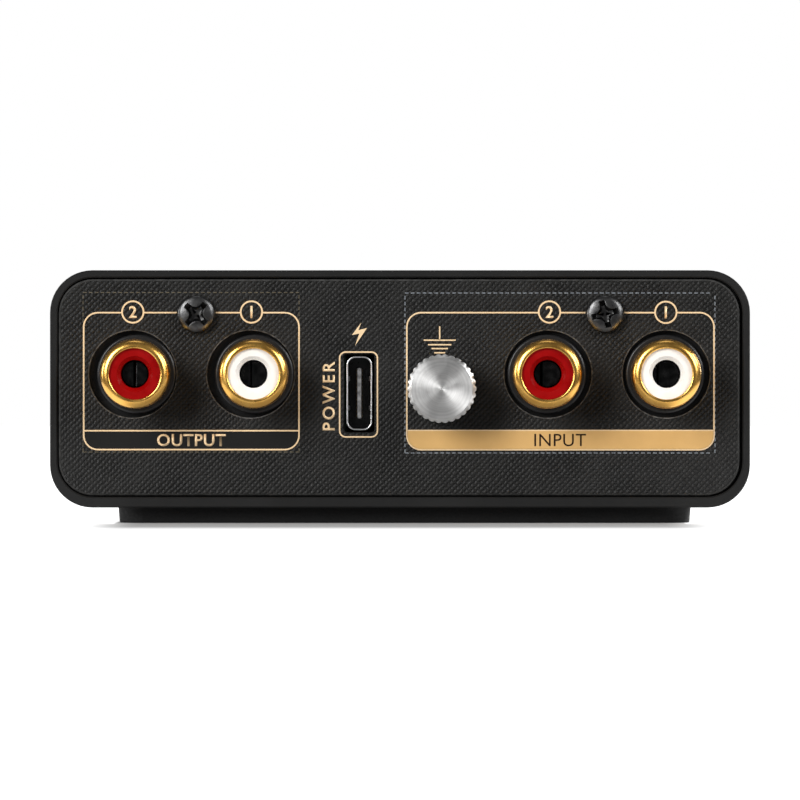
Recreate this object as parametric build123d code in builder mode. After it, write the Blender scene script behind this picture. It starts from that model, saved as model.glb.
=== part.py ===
from build123d import *
import os

# Phono preamp in an extruded aluminium case that stands on a rubber pad.
# Millimetres. +Z is up, X runs across the case and Y along it: the connectors are on the rear panel at -Y,
# the controls on the front panel at +Y. The origin is on the pad's underside, below the middle of the case.
# "Right" and "left" in names are the audio channels.

os.makedirs("parts", exist_ok=True)

# Case and pad
case_width = 84.14
case_height = 28.54
case_length = 90.0
case_corner_radius = 5.1
case_wall = 1.5
case_floor = 1.9
lip_wall = 0.89
lip_floor = 1.29
rebate_corner_radius = 4.3
cavity_corner_radius = 3.6
case_edge_break = 0.15
pad_width = 69.2
pad_length = 82.0
pad_height = 1.88
pad_offset_x = 0.55
pad_corner_radius = 3.0
pad_draft = 5.0
pad_edge_radius = 0.15

# End panels
panel_width = 81.8
panel_height = 25.95
panel_corner_radius = 4.1
panel_thickness = 2.0
panel_recess = 0.1
panel_offset_x = -0.1
panel_edge_break = 0.2
panel_hole_break = 0.12

# Phono jacks: two pairs on one line
line_out_right_x = -31.68
line_out_left_x = -17.51
phono_in_right_x = 17.63
phono_in_left_x = 31.84
jack_z = 17.93
jack_hole_radius = 5.25
line_out_hole_shift = -0.45
phono_in_hole_shift = 0.15
collar_radius = 4.75
collar_proud = 0.15
collar_edge_radius = 0.3
shell_radius = 4.15
shell_bore_radius = 3.15
shell_reach = 8.0
shell_shoulder = 0.3
shell_outer_lip = 0.6
shell_inner_lip = 0.3
insulator_radius = 3.12
insulator_recess = 0.45
insulator_mouth_radius = 2.14
insulator_bore_radius = 1.69
insulator_bevel = 0.45
insulator_bore_depth = 12.0
contact_outer_radius = 1.45
contact_inner_radius = 1.1
contact_slot = 0.5
contact_setback = 1.6
contact_root = 2.0
tail_radius = 0.4
tail_gap = 1.5
lug_width = 2.0
lug_thickness = 0.5
press_gap = 0.02
jack_block_side = 6.6
jack_block_top_z = 24.0
jack_block_depth = 10.0
jack_boss_width = 8.0
jack_boss_top_z = 28.3

# Screws that hold the rear panel to the jack blocks
line_out_screw_x = -24.5
phono_in_screw_x = 24.64
jack_screw_z = 25.15
line_out_screw_turn = 40.0
phono_in_screw_turn = -15.0
jack_screw_head_radius = 2.22
jack_screw_head_height = 1.5
jack_screw_rim = 0.45
jack_screw_radius = 1.3
jack_screw_length = 8.0
jack_screw_tip = 0.7
cross_width = 0.85
cross_span = 3.6
cross_depth = 1.2

# Ground terminal: M4 thumb screw, washer, bush, solder tag and nut
ground_x = 5.0
ground_z = 16.18
thumb_radius = 4.12
knurl_teeth = 30
knurl_depth = 0.17
knurl_half_width = 0.38
thumb_head_length = 5.6
thumb_neck_radius = 3.3
thumb_neck_length = 1.0
thumb_edge_break = 0.35
dimple_radius = 0.3
dimple_depth = 0.25
ground_thread_radius = 1.98
ground_thread_length = 8.0
washer_radius = 3.9
washer_bore_radius = 2.2
washer_thickness = 0.55
moving_gap = 0.05
bush_radius = 3.0
bush_bore_radius = 2.03
bush_length = 7.6
bush_flange_across = 7.5
bush_flange_thickness = 1.5
tag_ring_radius = 4.2
ground_nut_across = 8.0
ground_nut_thickness = 2.0

# Upright USB socket
usb_x = -4.89
usb_z = 15.63
usb_shell_height = 8.94
usb_shell_width = 3.16
usb_shell_corner = 1.1
usb_wall = 0.3
usb_shell_length = 7.3
usb_setback = 0.3
usb_opening_width = 3.65
usb_opening_height = 9.4
usb_opening_corner = 0.35
usb_tongue_width = 0.64
usb_tongue_height = 6.2
usb_tongue_length = 5.0
usb_tongue_setback = 0.8
usb_base_length = 1.4
usb_contact_pitch = 0.5
usb_contact_count = 12
usb_contact_width = 0.25
usb_contact_thickness = 0.06
usb_contact_length = 4.2
usb_board_thickness = 1.0
usb_board_height = 13.5
usb_board_depth = 9.4

# Main board and its fixings
board_width = 77.0
board_length = 84.8
board_thickness = 1.6
standoff_height = 2.5
standoff_across = 5.0
spigot_radius = 1.9
base_screw_spacing_x = 56.0
base_screw_spacing_y = 47.0
base_screw_mid_y = -3.5
base_screw_radius = 1.25
base_screw_clearance_radius = 1.35
base_screw_head_radius = 2.3
base_screw_length = 5.4
tail_below_board = 1.2

# Volume control
volume_x = -22.0
pot_width = 14.0
pot_height_above_axis = 6.2
pot_depth = 8.0
pot_bush_radius = 3.5
pot_bush_length = 6.5
shaft_radius = 3.0
shaft_clearance = 0.05
shaft_buried = 6.7
shaft_reach = 12.0
shaft_flat = 1.5
shaft_flat_length = 7.0
pot_washer_radius = 6.0
pot_washer_thickness = 0.5
pot_nut_across = 10.0
pot_nut_thickness = 2.0
knob_radius = 10.0
knob_length = 12.5
knob_gap = 1.0
knob_skirt = 1.2
knob_cap = 2.2
knob_edge_radius = 0.8
knob_flutes = 48
flute_radius = 0.42
knob_dish_radius = 8.6
knob_dish_depth = 0.35
knob_socket_radius = 7.0
knob_socket_depth = 4.2
knob_bore_depth = 11.0
pointer_width = 0.9
pointer_depth = 0.5
pointer_inner = 3.6
pointer_outer = 8.2
grub_radius = 1.5
grub_length = 7.2

# Power button and light
power_x = 27.0
switch_width = 8.6
switch_depth = 12.0
switch_height_above_axis = 4.2
switch_setback = 5.5
plunger_width = 3.0
plunger_gap = 0.05
plunger_buried = 7.0
plunger_well = 10.0
button_radius = 3.5
button_hole_radius = 3.7
button_reach = 3.0
button_length = 8.0
button_flange_radius = 4.3
button_flange_thickness = 1.0
button_flange_gap = 0.3
button_edge_radius = 0.5
led_x = 17.0
led_radius = 1.5
led_hole_radius = 1.6
led_reach = 0.9
led_flange_radius = 1.9
led_flange_thickness = 0.8
led_holder_width = 5.0
led_holder_depth = 6.0
led_holder_above_axis = 2.6

# Parts on the main board
socket_width = 10.0
socket_length = 10.2
socket_height = 4.4
op_amp_width = 6.4
op_amp_length = 9.8
op_amp_height = 3.4
op_amp_notch_radius = 0.8
op_amp_places = [(-13.0, -6.0), (13.0, -6.0)]
film_width = 3.6
film_length = 8.0
film_height = 8.0
film_y = -20.0
film_xs = [-23.0, -17.0, -11.0, -5.0, 5.0, 11.0, 17.0, 23.0]
can_radius = 4.0
can_height = 11.5
can_crimp_z = 1.6
can_crimp_depth = 0.3
can_places = [(-6.0, 7.0), (6.0, 7.0), (-16.0, 9.0), (16.0, 9.0), (-6.0, 17.0), (6.0, 17.0)]
resistor_radius = 1.15
resistor_waist = 0.95
resistor_length = 6.3
resistor_xs = [-33.0, -29.0, -25.0, 25.0, 29.0, 33.0]
resistor_ys = [-12.0, -3.0, 6.0]
converter_width = 19.5
converter_length = 7.0
converter_height = 10.0
converter_place = (-2.0, 30.0)
inductor_radius = 3.9
inductor_height = 5.5
inductor_place = (14.0, 20.0)

# Places worked out from the sizes above
case_bottom_z = pad_height
case_top_z = case_bottom_z + case_height
case_mid_z = case_bottom_z + case_height / 2
cavity_width = case_width - 2 * case_wall
cavity_floor_z = case_bottom_z + case_floor
cavity_height = case_height - case_wall - case_floor
cavity_mid_z = cavity_floor_z + cavity_height / 2
rebate_width = case_width - 2 * lip_wall
rebate_height = case_height - lip_wall - lip_floor
rebate_mid_z = case_bottom_z + lip_floor + rebate_height / 2
rebate_depth = panel_recess + panel_thickness
rear_face_y = panel_recess - case_length / 2
rear_inner_y = rear_face_y + panel_thickness
front_face_y = -rear_face_y
front_inner_y = -rear_inner_y
board_underside_z = cavity_floor_z + standoff_height
board_top_z = board_underside_z + board_thickness
tail_end_z = board_underside_z - tail_below_board
jack_block_back_y = rear_inner_y + jack_block_depth
lug_back_y = jack_block_back_y + lug_thickness
tail_y = lug_back_y + tail_gap
control_z = case_mid_z
line_out_xs = (line_out_right_x, line_out_left_x)
phono_in_xs = (phono_in_right_x, phono_in_left_x)
jack_xs = line_out_xs + phono_in_xs


def section_plane(y):
    """Plane across the case at y, facing the connectors: sketch x is X, sketch y is Z, extrusions go to -Y."""
    return Plane(origin=(0, y, 0), x_dir=(1, 0, 0), z_dir=(0, -1, 0))


def lathe_plane(x, y, z):
    """Plane for a turned profile about a line along Y: sketch x is the radius, sketch y is the way out, -Y."""
    return Plane(origin=(x, y, z), x_dir=(1, 0, 0), z_dir=(0, 0, -1))


def outward_axis(x, z):
    """The line along Y through x, z, pointing out of the rear panel."""
    return Axis((x, 0, z), (0, -1, 0))


# Sleeve: an extruded tube, rebated at both ends for the panels and countersunk from below for four screws
with BuildPart() as sleeve:
    with BuildSketch(section_plane(case_length / 2)):
        with Locations((0, case_mid_z)):
            RectangleRounded(case_width, case_height, case_corner_radius)
        with Locations((0, cavity_mid_z)):
            RectangleRounded(cavity_width, cavity_height, cavity_corner_radius, mode=Mode.SUBTRACT)
    extrude(amount=case_length)
    for rebate_start_y in (case_length / 2, rear_inner_y):
        with BuildSketch(section_plane(rebate_start_y)):
            with Locations((0, rebate_mid_z)):
                RectangleRounded(rebate_width, rebate_height, rebate_corner_radius)
        extrude(amount=rebate_depth, mode=Mode.SUBTRACT)
    for end in (0, -1):
        chamfer(sleeve.faces().sort_by(Axis.Y)[end].edges(), length=case_edge_break)
    with Locations(Plane(origin=(0, base_screw_mid_y, case_bottom_z), z_dir=(0, 0, -1))):
        with GridLocations(base_screw_spacing_x, base_screw_spacing_y, 2, 2):
            CounterSinkHole(
                radius=base_screw_clearance_radius,
                counter_sink_radius=base_screw_head_radius,
                depth=case_floor,
                counter_sink_angle=90,
            )
sleeve.part.label = "sleeve"
export_step(sleeve.part, "parts/sleeve.step")

# Base pad: rubber, glued on, its sides drafted and its lower edge rounded
with BuildPart() as base_pad:
    with BuildSketch(Plane.XY.offset(pad_height)):
        with Locations((pad_offset_x, 0)):
            RectangleRounded(pad_width, pad_length, pad_corner_radius)
    extrude(amount=-pad_height, taper=pad_draft)
    fillet(base_pad.faces().sort_by(Axis.Z)[0].edges(), radius=pad_edge_radius)
base_pad.part.label = "base_pad"
export_step(base_pad.part, "parts/base_pad.step")

# Rear panel: a flat plate with the jack, screw, USB and ground openings
with BuildPart() as rear_panel:
    with BuildSketch(section_plane(rear_inner_y)):
        with Locations((panel_offset_x, rebate_mid_z)):
            RectangleRounded(panel_width, panel_height, panel_corner_radius)
        for x in line_out_xs:
            with Locations((x + line_out_hole_shift, jack_z)):
                Circle(jack_hole_radius, mode=Mode.SUBTRACT)
        for x in phono_in_xs:
            with Locations((x + phono_in_hole_shift, jack_z)):
                Circle(jack_hole_radius, mode=Mode.SUBTRACT)
        with Locations((line_out_screw_x, jack_screw_z), (phono_in_screw_x, jack_screw_z)):
            Circle(jack_screw_radius + panel_edge_break, mode=Mode.SUBTRACT)
        with Locations((usb_x, usb_z)):
            RectangleRounded(usb_opening_width, usb_opening_height, usb_opening_corner, mode=Mode.SUBTRACT)
        with Locations((ground_x, ground_z)):
            Circle(bush_radius + press_gap, mode=Mode.SUBTRACT)
    extrude(amount=panel_thickness)
    chamfer(rear_panel.faces().sort_by(Axis.Y)[0].outer_wire().edges(), length=panel_edge_break)
    chamfer(rear_panel.faces().sort_by(Axis.Y)[0].inner_wires().edges(), length=panel_hole_break)
rear_panel.part.label = "rear_panel"
export_step(rear_panel.part, "parts/rear_panel.step")

# Front panel: the same plate with openings for the volume bush, the power button and its light
with BuildPart() as front_panel:
    with BuildSketch(section_plane(front_face_y)):
        with Locations((panel_offset_x, rebate_mid_z)):
            RectangleRounded(panel_width, panel_height, panel_corner_radius)
        with Locations((volume_x, control_z)):
            Circle(pot_bush_radius + shaft_clearance, mode=Mode.SUBTRACT)
        with Locations((power_x, control_z)):
            Circle(button_hole_radius, mode=Mode.SUBTRACT)
        with Locations((led_x, control_z)):
            Circle(led_hole_radius, mode=Mode.SUBTRACT)
    extrude(amount=panel_thickness)
    chamfer(front_panel.faces().sort_by(Axis.Y)[-1].outer_wire().edges(), length=panel_edge_break)
    chamfer(front_panel.faces().sort_by(Axis.Y)[-1].inner_wires().edges(), length=panel_hole_break)
front_panel.part.label = "front_panel"
export_step(front_panel.part, "parts/front_panel.step")


def make_jack_block(pair_xs, screw_x):
    """Moulded housing of two jacks: a box on the board, a boss for the panel screw and a collar round each shell."""
    left_x = min(pair_xs) - jack_block_side
    right_x = max(pair_xs) + jack_block_side
    centres = [(x, jack_z) for x in pair_xs]
    with BuildPart() as block:
        with BuildSketch(section_plane(jack_block_back_y)):
            with Locations((left_x, board_top_z)):
                Rectangle(right_x - left_x, jack_block_top_z - board_top_z, align=(Align.MIN, Align.MIN))
            with Locations((screw_x, jack_z)):
                Rectangle(jack_boss_width, jack_boss_top_z - jack_z, align=(Align.CENTER, Align.MIN))
        extrude(amount=jack_block_depth)
        with BuildSketch(section_plane(rear_inner_y)):
            with Locations(*centres):
                Circle(collar_radius)
        extrude(amount=panel_thickness + collar_proud)
        fillet(block.faces().group_by(Axis.Y)[0].edges(), radius=collar_edge_radius)
        with BuildSketch(section_plane(jack_block_back_y)):
            with Locations(*centres):
                Circle(shell_radius - shell_shoulder + press_gap)
        extrude(amount=jack_block_depth + panel_thickness + collar_proud, mode=Mode.SUBTRACT)
        with BuildSketch(section_plane(rear_inner_y + jack_screw_length)):
            with Locations((screw_x, jack_screw_z)):
                Circle(jack_screw_radius + press_gap)
        extrude(amount=jack_screw_length, mode=Mode.SUBTRACT)
    return block


line_out_jack_block = make_jack_block(line_out_xs, line_out_screw_x)
line_out_jack_block.part.label = "line_out_jack_block"
export_step(line_out_jack_block.part, "parts/line_out_jack_block.step")

phono_in_jack_block = make_jack_block(phono_in_xs, phono_in_screw_x)
phono_in_jack_block.part.label = "phono_in_jack_block"
export_step(phono_in_jack_block.part, "parts/phono_in_jack_block.step")


def make_jack_shell(x):
    """Plated barrel with a rolled lip and a shoulder against the collar, and its solder lug behind the block."""
    barrel_back = rear_face_y - lug_back_y
    shoulder = collar_proud + moving_gap
    with BuildPart() as shell:
        with BuildSketch(lathe_plane(x, rear_face_y, jack_z)) as wall:
            with BuildLine():
                Polyline(
                    (shell_bore_radius, barrel_back),
                    (shell_radius - shell_shoulder, barrel_back),
                    (shell_radius - shell_shoulder, shoulder),
                    (shell_radius, shoulder),
                    (shell_radius, shell_reach),
                    (shell_bore_radius, shell_reach),
                    close=True,
                )
            make_face()
            inner_lip, outer_lip = wall.vertices().group_by(Axis.Y)[-1].sort_by(Axis.X)
            fillet(outer_lip, radius=shell_outer_lip)
            fillet(inner_lip, radius=shell_inner_lip)
        revolve(axis=outward_axis(x, jack_z))
        with BuildSketch(section_plane(lug_back_y)):
            with Locations((x, tail_end_z)):
                Rectangle(
                    lug_width,
                    jack_z - shell_bore_radius - shell_inner_lip - tail_end_z,
                    align=(Align.CENTER, Align.MIN),
                )
        extrude(amount=lug_thickness)
    return shell


def make_jack_insulator(x):
    """Coloured insert of the barrel with a bevelled mouth and a blind bore for the plug's pin."""
    insert_front = shell_reach - insulator_recess
    insert_back = rear_face_y - lug_back_y
    bore_end = insert_front - insulator_bore_depth
    with BuildPart() as insulator:
        with BuildSketch(lathe_plane(x, rear_face_y, jack_z)):
            with BuildLine():
                Polyline(
                    (tail_radius + press_gap, insert_back),
                    (insulator_radius, insert_back),
                    (insulator_radius, insert_front),
                    (insulator_mouth_radius, insert_front),
                    (insulator_bore_radius, insert_front - insulator_bevel),
                    (insulator_bore_radius, bore_end),
                    (tail_radius + press_gap, bore_end),
                    close=True,
                )
            make_face()
        revolve(axis=outward_axis(x, jack_z))
    return insulator


def make_jack_contact(x):
    """Split spring contact in the bore: two leaves, a solid root and a tail bent down through the board."""
    leaf_front_y = rear_face_y - (shell_reach - insulator_recess - contact_setback)
    root_back_y = rear_face_y - (shell_reach - insulator_recess - insulator_bore_depth)
    slot_end_y = root_back_y - contact_root
    with BuildPart() as contact:
        with BuildSketch(section_plane(root_back_y)):
            with Locations((x, jack_z)):
                Circle(contact_outer_radius)
        extrude(amount=root_back_y - leaf_front_y)
        with BuildSketch(section_plane(slot_end_y)):
            with Locations((x, jack_z)):
                Circle(contact_inner_radius)
                Rectangle(contact_slot, 2 * contact_outer_radius + contact_slot)
        extrude(amount=slot_end_y - leaf_front_y, mode=Mode.SUBTRACT)
        with BuildSketch(section_plane(tail_y)):
            with Locations((x, jack_z)):
                Circle(tail_radius)
        extrude(amount=tail_y - root_back_y)
        with BuildSketch(Plane.XY.offset(tail_end_z)):
            with Locations((x, tail_y)):
                Circle(tail_radius)
        extrude(amount=jack_z - tail_end_z)
    return contact


jack_places = {
    "line_out_right": line_out_right_x,
    "line_out_left": line_out_left_x,
    "phono_in_right": phono_in_right_x,
    "phono_in_left": phono_in_left_x,
}
for jack_name, jack_x in jack_places.items():
    jack_shell = make_jack_shell(jack_x)
    jack_shell.part.label = f"{jack_name}_shell"
    export_step(jack_shell.part, f"parts/{jack_name}_shell.step")

    jack_insulator = make_jack_insulator(jack_x)
    jack_insulator.part.label = f"{jack_name}_insulator"
    export_step(jack_insulator.part, f"parts/{jack_name}_insulator.step")

    jack_contact = make_jack_contact(jack_x)
    jack_contact.part.label = f"{jack_name}_contact"
    export_step(jack_contact.part, f"parts/{jack_name}_contact.step")


def make_jack_screw(x, turn):
    """Self-tapping screw with a domed head and a cross recess turned by an angle in degrees."""
    shank_end = -panel_thickness - jack_screw_length + panel_edge_break
    with BuildPart() as screw:
        with BuildSketch(lathe_plane(x, rear_face_y, jack_screw_z)):
            with BuildLine():
                Polyline(
                    (0, jack_screw_head_height),
                    (0, shank_end),
                    (jack_screw_radius - jack_screw_tip, shank_end),
                    (jack_screw_radius, shank_end + jack_screw_tip),
                    (jack_screw_radius, 0),
                    (jack_screw_head_radius, 0),
                    (jack_screw_head_radius, jack_screw_rim),
                )
                TangentArc(
                    (0, jack_screw_head_height),
                    (jack_screw_head_radius, jack_screw_rim),
                    tangent=(1, 0),
                )
            make_face()
        revolve(axis=outward_axis(x, jack_screw_z))
        with BuildSketch(section_plane(rear_face_y - jack_screw_head_height + cross_depth)):
            with Locations((x, jack_screw_z)):
                Rectangle(cross_width, cross_span, rotation=turn)
                Rectangle(cross_span, cross_width, rotation=turn)
        extrude(amount=cross_depth, mode=Mode.SUBTRACT)
    return screw


line_out_screw = make_jack_screw(line_out_screw_x, line_out_screw_turn)
line_out_screw.part.label = "line_out_screw"
export_step(line_out_screw.part, "parts/line_out_screw.step")

phono_in_screw = make_jack_screw(phono_in_screw_x, phono_in_screw_turn)
phono_in_screw.part.label = "phono_in_screw"
export_step(phono_in_screw.part, "parts/phono_in_screw.step")

# Ground bush: tapped tube clinched in the rear panel, with a hexagonal flange behind it
bush_flange_back_y = rear_inner_y + bush_flange_thickness
bush_back_y = rear_face_y + bush_length
with BuildPart() as ground_bush:
    with BuildSketch(section_plane(bush_back_y)):
        with Locations((ground_x, ground_z)):
            Circle(bush_radius)
    extrude(amount=bush_length)
    with BuildSketch(section_plane(bush_flange_back_y)):
        with Locations((ground_x, ground_z)):
            RegularPolygon(bush_flange_across / 2, 6, major_radius=False)
    extrude(amount=bush_flange_thickness)
    with BuildSketch(section_plane(bush_back_y)):
        with Locations((ground_x, ground_z)):
            Circle(bush_bore_radius)
    extrude(amount=bush_length, mode=Mode.SUBTRACT)
ground_bush.part.label = "ground_bush"
export_step(ground_bush.part, "parts/ground_bush.step")

# Ground tag: stamped ring round the bush with a tail soldered in the board
tag_back_y = bush_flange_back_y + lug_thickness
with BuildPart() as ground_tag:
    with BuildSketch(section_plane(tag_back_y)):
        with Locations((ground_x, ground_z)):
            Circle(tag_ring_radius)
        with Locations((ground_x, tail_end_z)):
            Rectangle(lug_width, ground_z - tail_end_z, align=(Align.CENTER, Align.MIN))
        with Locations((ground_x, ground_z)):
            Circle(bush_radius + press_gap, mode=Mode.SUBTRACT)
    extrude(amount=lug_thickness)
ground_tag.part.label = "ground_tag"
export_step(ground_tag.part, "parts/ground_tag.step")

# Ground nut: clamps the tag against the bush's flange
with BuildPart() as ground_nut:
    with BuildSketch(section_plane(tag_back_y + ground_nut_thickness)):
        with Locations((ground_x, ground_z)):
            RegularPolygon(ground_nut_across / 2, 6, major_radius=False)
            Circle(bush_radius + press_gap, mode=Mode.SUBTRACT)
    extrude(amount=ground_nut_thickness)
ground_nut.part.label = "ground_nut"
export_step(ground_nut.part, "parts/ground_nut.step")

# Ground washer: captive under the thumb screw's neck, it travels with the screw and doesn't turn
washer_back_y = rear_face_y - moving_gap
with BuildPart() as ground_washer:
    with BuildSketch(section_plane(washer_back_y)):
        with Locations((ground_x, ground_z)):
            Circle(washer_radius)
            Circle(washer_bore_radius, mode=Mode.SUBTRACT)
    extrude(amount=washer_thickness)
ground_washer.part.label = "ground_washer"
export_step(ground_washer.part, "parts/ground_washer.step")

# Ground screw: knurled head on a neck, its rims bevelled and its face dimpled by the lathe centre
neck_back_y = washer_back_y - washer_thickness - moving_gap
head_back_y = neck_back_y - thumb_neck_length
with BuildPart() as ground_screw:
    with BuildSketch(section_plane(head_back_y)):
        with Locations((ground_x, ground_z)):
            Circle(thumb_radius)
            with PolarLocations(thumb_radius, knurl_teeth):
                Polygon(
                    (-knurl_depth, 0),
                    (moving_gap, -knurl_half_width),
                    (moving_gap, knurl_half_width),
                    align=None,
                    mode=Mode.SUBTRACT,
                )
    extrude(amount=thumb_head_length)
    bevel_root_radius = thumb_radius - thumb_edge_break
    outer_radius = thumb_radius + thumb_edge_break
    with BuildSketch(lathe_plane(ground_x, head_back_y, ground_z)):
        with BuildLine():
            Polyline(
                (bevel_root_radius, thumb_head_length),
                (outer_radius, thumb_head_length - 2 * thumb_edge_break),
                (outer_radius, thumb_head_length + thumb_edge_break),
                (bevel_root_radius, thumb_head_length + thumb_edge_break),
                close=True,
            )
        make_face()
        with BuildLine():
            Polyline(
                (bevel_root_radius, 0),
                (outer_radius, 2 * thumb_edge_break),
                (outer_radius, -thumb_edge_break),
                (bevel_root_radius, -thumb_edge_break),
                close=True,
            )
        make_face()
        with BuildLine():
            Polyline(
                (0, thumb_head_length - dimple_depth),
                (dimple_radius, thumb_head_length),
                (0, thumb_head_length),
                close=True,
            )
        make_face()
    revolve(axis=outward_axis(ground_x, ground_z), mode=Mode.SUBTRACT)
    with BuildSketch(section_plane(neck_back_y)):
        with Locations((ground_x, ground_z)):
            Circle(thumb_neck_radius)
    extrude(amount=thumb_neck_length)
    with BuildSketch(section_plane(neck_back_y + ground_thread_length)):
        with Locations((ground_x, ground_z)):
            Circle(ground_thread_radius)
    extrude(amount=ground_thread_length)
ground_screw.part.label = "ground_screw"
export_step(ground_screw.part, "parts/ground_screw.step")

# USB socket: upright shell, a tongue on a base that closes the shell, and the contacts on both its faces
usb_front_y = rear_face_y + usb_setback
usb_back_y = usb_front_y + usb_shell_length
usb_inner_width = usb_shell_width - 2 * usb_wall
usb_inner_height = usb_shell_height - 2 * usb_wall
usb_inner_corner = usb_shell_corner - usb_wall
with BuildPart() as usb_shell:
    with BuildSketch(section_plane(usb_back_y)):
        with Locations((usb_x, usb_z)):
            RectangleRounded(usb_shell_width, usb_shell_height, usb_shell_corner)
            RectangleRounded(usb_inner_width, usb_inner_height, usb_inner_corner, mode=Mode.SUBTRACT)
    extrude(amount=usb_shell_length)
usb_shell.part.label = "usb_shell"
export_step(usb_shell.part, "parts/usb_shell.step")

usb_tongue_back_y = usb_front_y + usb_tongue_setback + usb_tongue_length
with BuildPart() as usb_tongue:
    with BuildSketch(section_plane(usb_tongue_back_y + usb_base_length)):
        with Locations((usb_x, usb_z)):
            RectangleRounded(usb_inner_width - 2 * press_gap, usb_inner_height - 2 * press_gap, usb_inner_corner)
    extrude(amount=usb_base_length)
    with BuildSketch(section_plane(usb_tongue_back_y)):
        with Locations((usb_x, usb_z)):
            Rectangle(usb_tongue_width, usb_tongue_height)
    extrude(amount=usb_tongue_length)
    fillet(usb_tongue.edges().filter_by(Axis.Z).sort_by(Axis.Y)[:2], radius=usb_tongue_width / 3)
usb_tongue.part.label = "usb_tongue"
export_step(usb_tongue.part, "parts/usb_tongue.step")

contact_side = usb_tongue_width / 2 + usb_contact_thickness / 2
with BuildPart() as usb_contacts:
    with BuildSketch(section_plane(usb_tongue_back_y)):
        with Locations((usb_x - contact_side, usb_z), (usb_x + contact_side, usb_z)):
            with GridLocations(usb_contact_pitch, usb_contact_pitch, 1, usb_contact_count):
                Rectangle(usb_contact_thickness, usb_contact_width)
    extrude(amount=usb_contact_length)
usb_contacts.part.label = "usb_contacts"
export_step(usb_contacts.part, "parts/usb_contacts.step")

# USB board: stands on the main board, the socket soldered on its side
with BuildPart() as usb_board:
    with BuildSketch(Plane.XY.offset(board_top_z)):
        with Locations((usb_x - usb_shell_width / 2, usb_front_y + 2 * panel_thickness)):
            Rectangle(usb_board_thickness, usb_board_depth, align=(Align.MAX, Align.MIN))
    extrude(amount=usb_board_height)
usb_board.part.label = "usb_board"
export_step(usb_board.part, "parts/usb_board.step")

# Circuit board: holes for the spacers' spigots and slots and holes for the tails soldered in it
with BuildPart() as circuit_board:
    with BuildSketch(Plane.XY.offset(board_underside_z)):
        Rectangle(board_width, board_length)
        with Locations((0, base_screw_mid_y)):
            with GridLocations(base_screw_spacing_x, base_screw_spacing_y, 2, 2):
                Circle(spigot_radius + press_gap, mode=Mode.SUBTRACT)
        with Locations(*[(x, tail_y) for x in jack_xs]):
            Circle(tail_radius + 0.2, mode=Mode.SUBTRACT)
        with Locations(*[(x, lug_back_y - lug_thickness / 2) for x in jack_xs]):
            Rectangle(lug_width + 0.3, lug_thickness + 0.3, mode=Mode.SUBTRACT)
        with Locations((ground_x, tag_back_y - lug_thickness / 2)):
            Rectangle(lug_width + 0.3, lug_thickness + 0.3, mode=Mode.SUBTRACT)
    extrude(amount=board_thickness)
circuit_board.part.label = "circuit_board"
export_step(circuit_board.part, "parts/circuit_board.step")

# Board standoffs: four tapped hexagonal spacers, their spigots swaged in the board
with BuildPart() as board_standoffs:
    with BuildSketch(Plane.XY.offset(cavity_floor_z)):
        with Locations((0, base_screw_mid_y)):
            with GridLocations(base_screw_spacing_x, base_screw_spacing_y, 2, 2):
                RegularPolygon(standoff_across / 2, 6, major_radius=False)
                Circle(base_screw_radius + press_gap, mode=Mode.SUBTRACT)
    extrude(amount=standoff_height)
    with BuildSketch(Plane.XY.offset(board_underside_z)):
        with Locations((0, base_screw_mid_y)):
            with GridLocations(base_screw_spacing_x, base_screw_spacing_y, 2, 2):
                Circle(spigot_radius)
                Circle(base_screw_radius + press_gap, mode=Mode.SUBTRACT)
    extrude(amount=board_thickness)
board_standoffs.part.label = "board_standoffs"
export_step(board_standoffs.part, "parts/board_standoffs.step")

# Base screws: four countersunk screws up through the case floor into the spacers
head_taper = base_screw_head_radius - base_screw_radius
with BuildPart() as base_screws:
    with BuildSketch(Plane.XY.offset(case_bottom_z + press_gap)):
        with Locations((0, base_screw_mid_y)):
            with GridLocations(base_screw_spacing_x, base_screw_spacing_y, 2, 2):
                Circle(base_screw_head_radius - 2 * press_gap)
    extrude(amount=head_taper, taper=45)
    with BuildSketch(Plane.XY.offset(case_bottom_z + press_gap)):
        with Locations((0, base_screw_mid_y)):
            with GridLocations(base_screw_spacing_x, base_screw_spacing_y, 2, 2):
                Circle(base_screw_radius)
    extrude(amount=base_screw_length)
base_screws.part.label = "base_screws"
export_step(base_screws.part, "parts/base_screws.step")

# Volume potentiometer: box on the board, its threaded bush through the front panel
pot_top_z = control_z + pot_height_above_axis
with BuildPart() as volume_pot_body:
    with BuildSketch(section_plane(front_inner_y)):
        with Locations((volume_x, board_top_z)):
            Rectangle(pot_width, pot_top_z - board_top_z, align=(Align.CENTER, Align.MIN))
    extrude(amount=pot_depth)
    with BuildSketch(section_plane(front_inner_y + pot_bush_length)):
        with Locations((volume_x, control_z)):
            Circle(pot_bush_radius)
    extrude(amount=pot_bush_length)
    with BuildSketch(section_plane(front_inner_y + pot_bush_length)):
        with Locations((volume_x, control_z)):
            Circle(shaft_radius + shaft_clearance)
    extrude(amount=pot_bush_length + shaft_buried + shaft_clearance, mode=Mode.SUBTRACT)
volume_pot_body.part.label = "volume_pot_body"
export_step(volume_pot_body.part, "parts/volume_pot_body.step")

# Volume shaft: turns in the bush, its end flattened on the underside
shaft_end_y = front_face_y + shaft_reach
shaft_start_y = front_inner_y - shaft_buried
with BuildPart() as volume_shaft:
    with BuildSketch(section_plane(shaft_end_y)):
        with Locations((volume_x, control_z)):
            Circle(shaft_radius)
    extrude(amount=shaft_end_y - shaft_start_y)
    with BuildSketch(section_plane(shaft_end_y)):
        with Locations((volume_x, control_z - shaft_flat)):
            Rectangle(2 * shaft_radius, shaft_radius, align=(Align.CENTER, Align.MAX))
    extrude(amount=shaft_flat_length, mode=Mode.SUBTRACT)
volume_shaft.part.label = "volume_shaft"
export_step(volume_shaft.part, "parts/volume_shaft.step")

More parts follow.
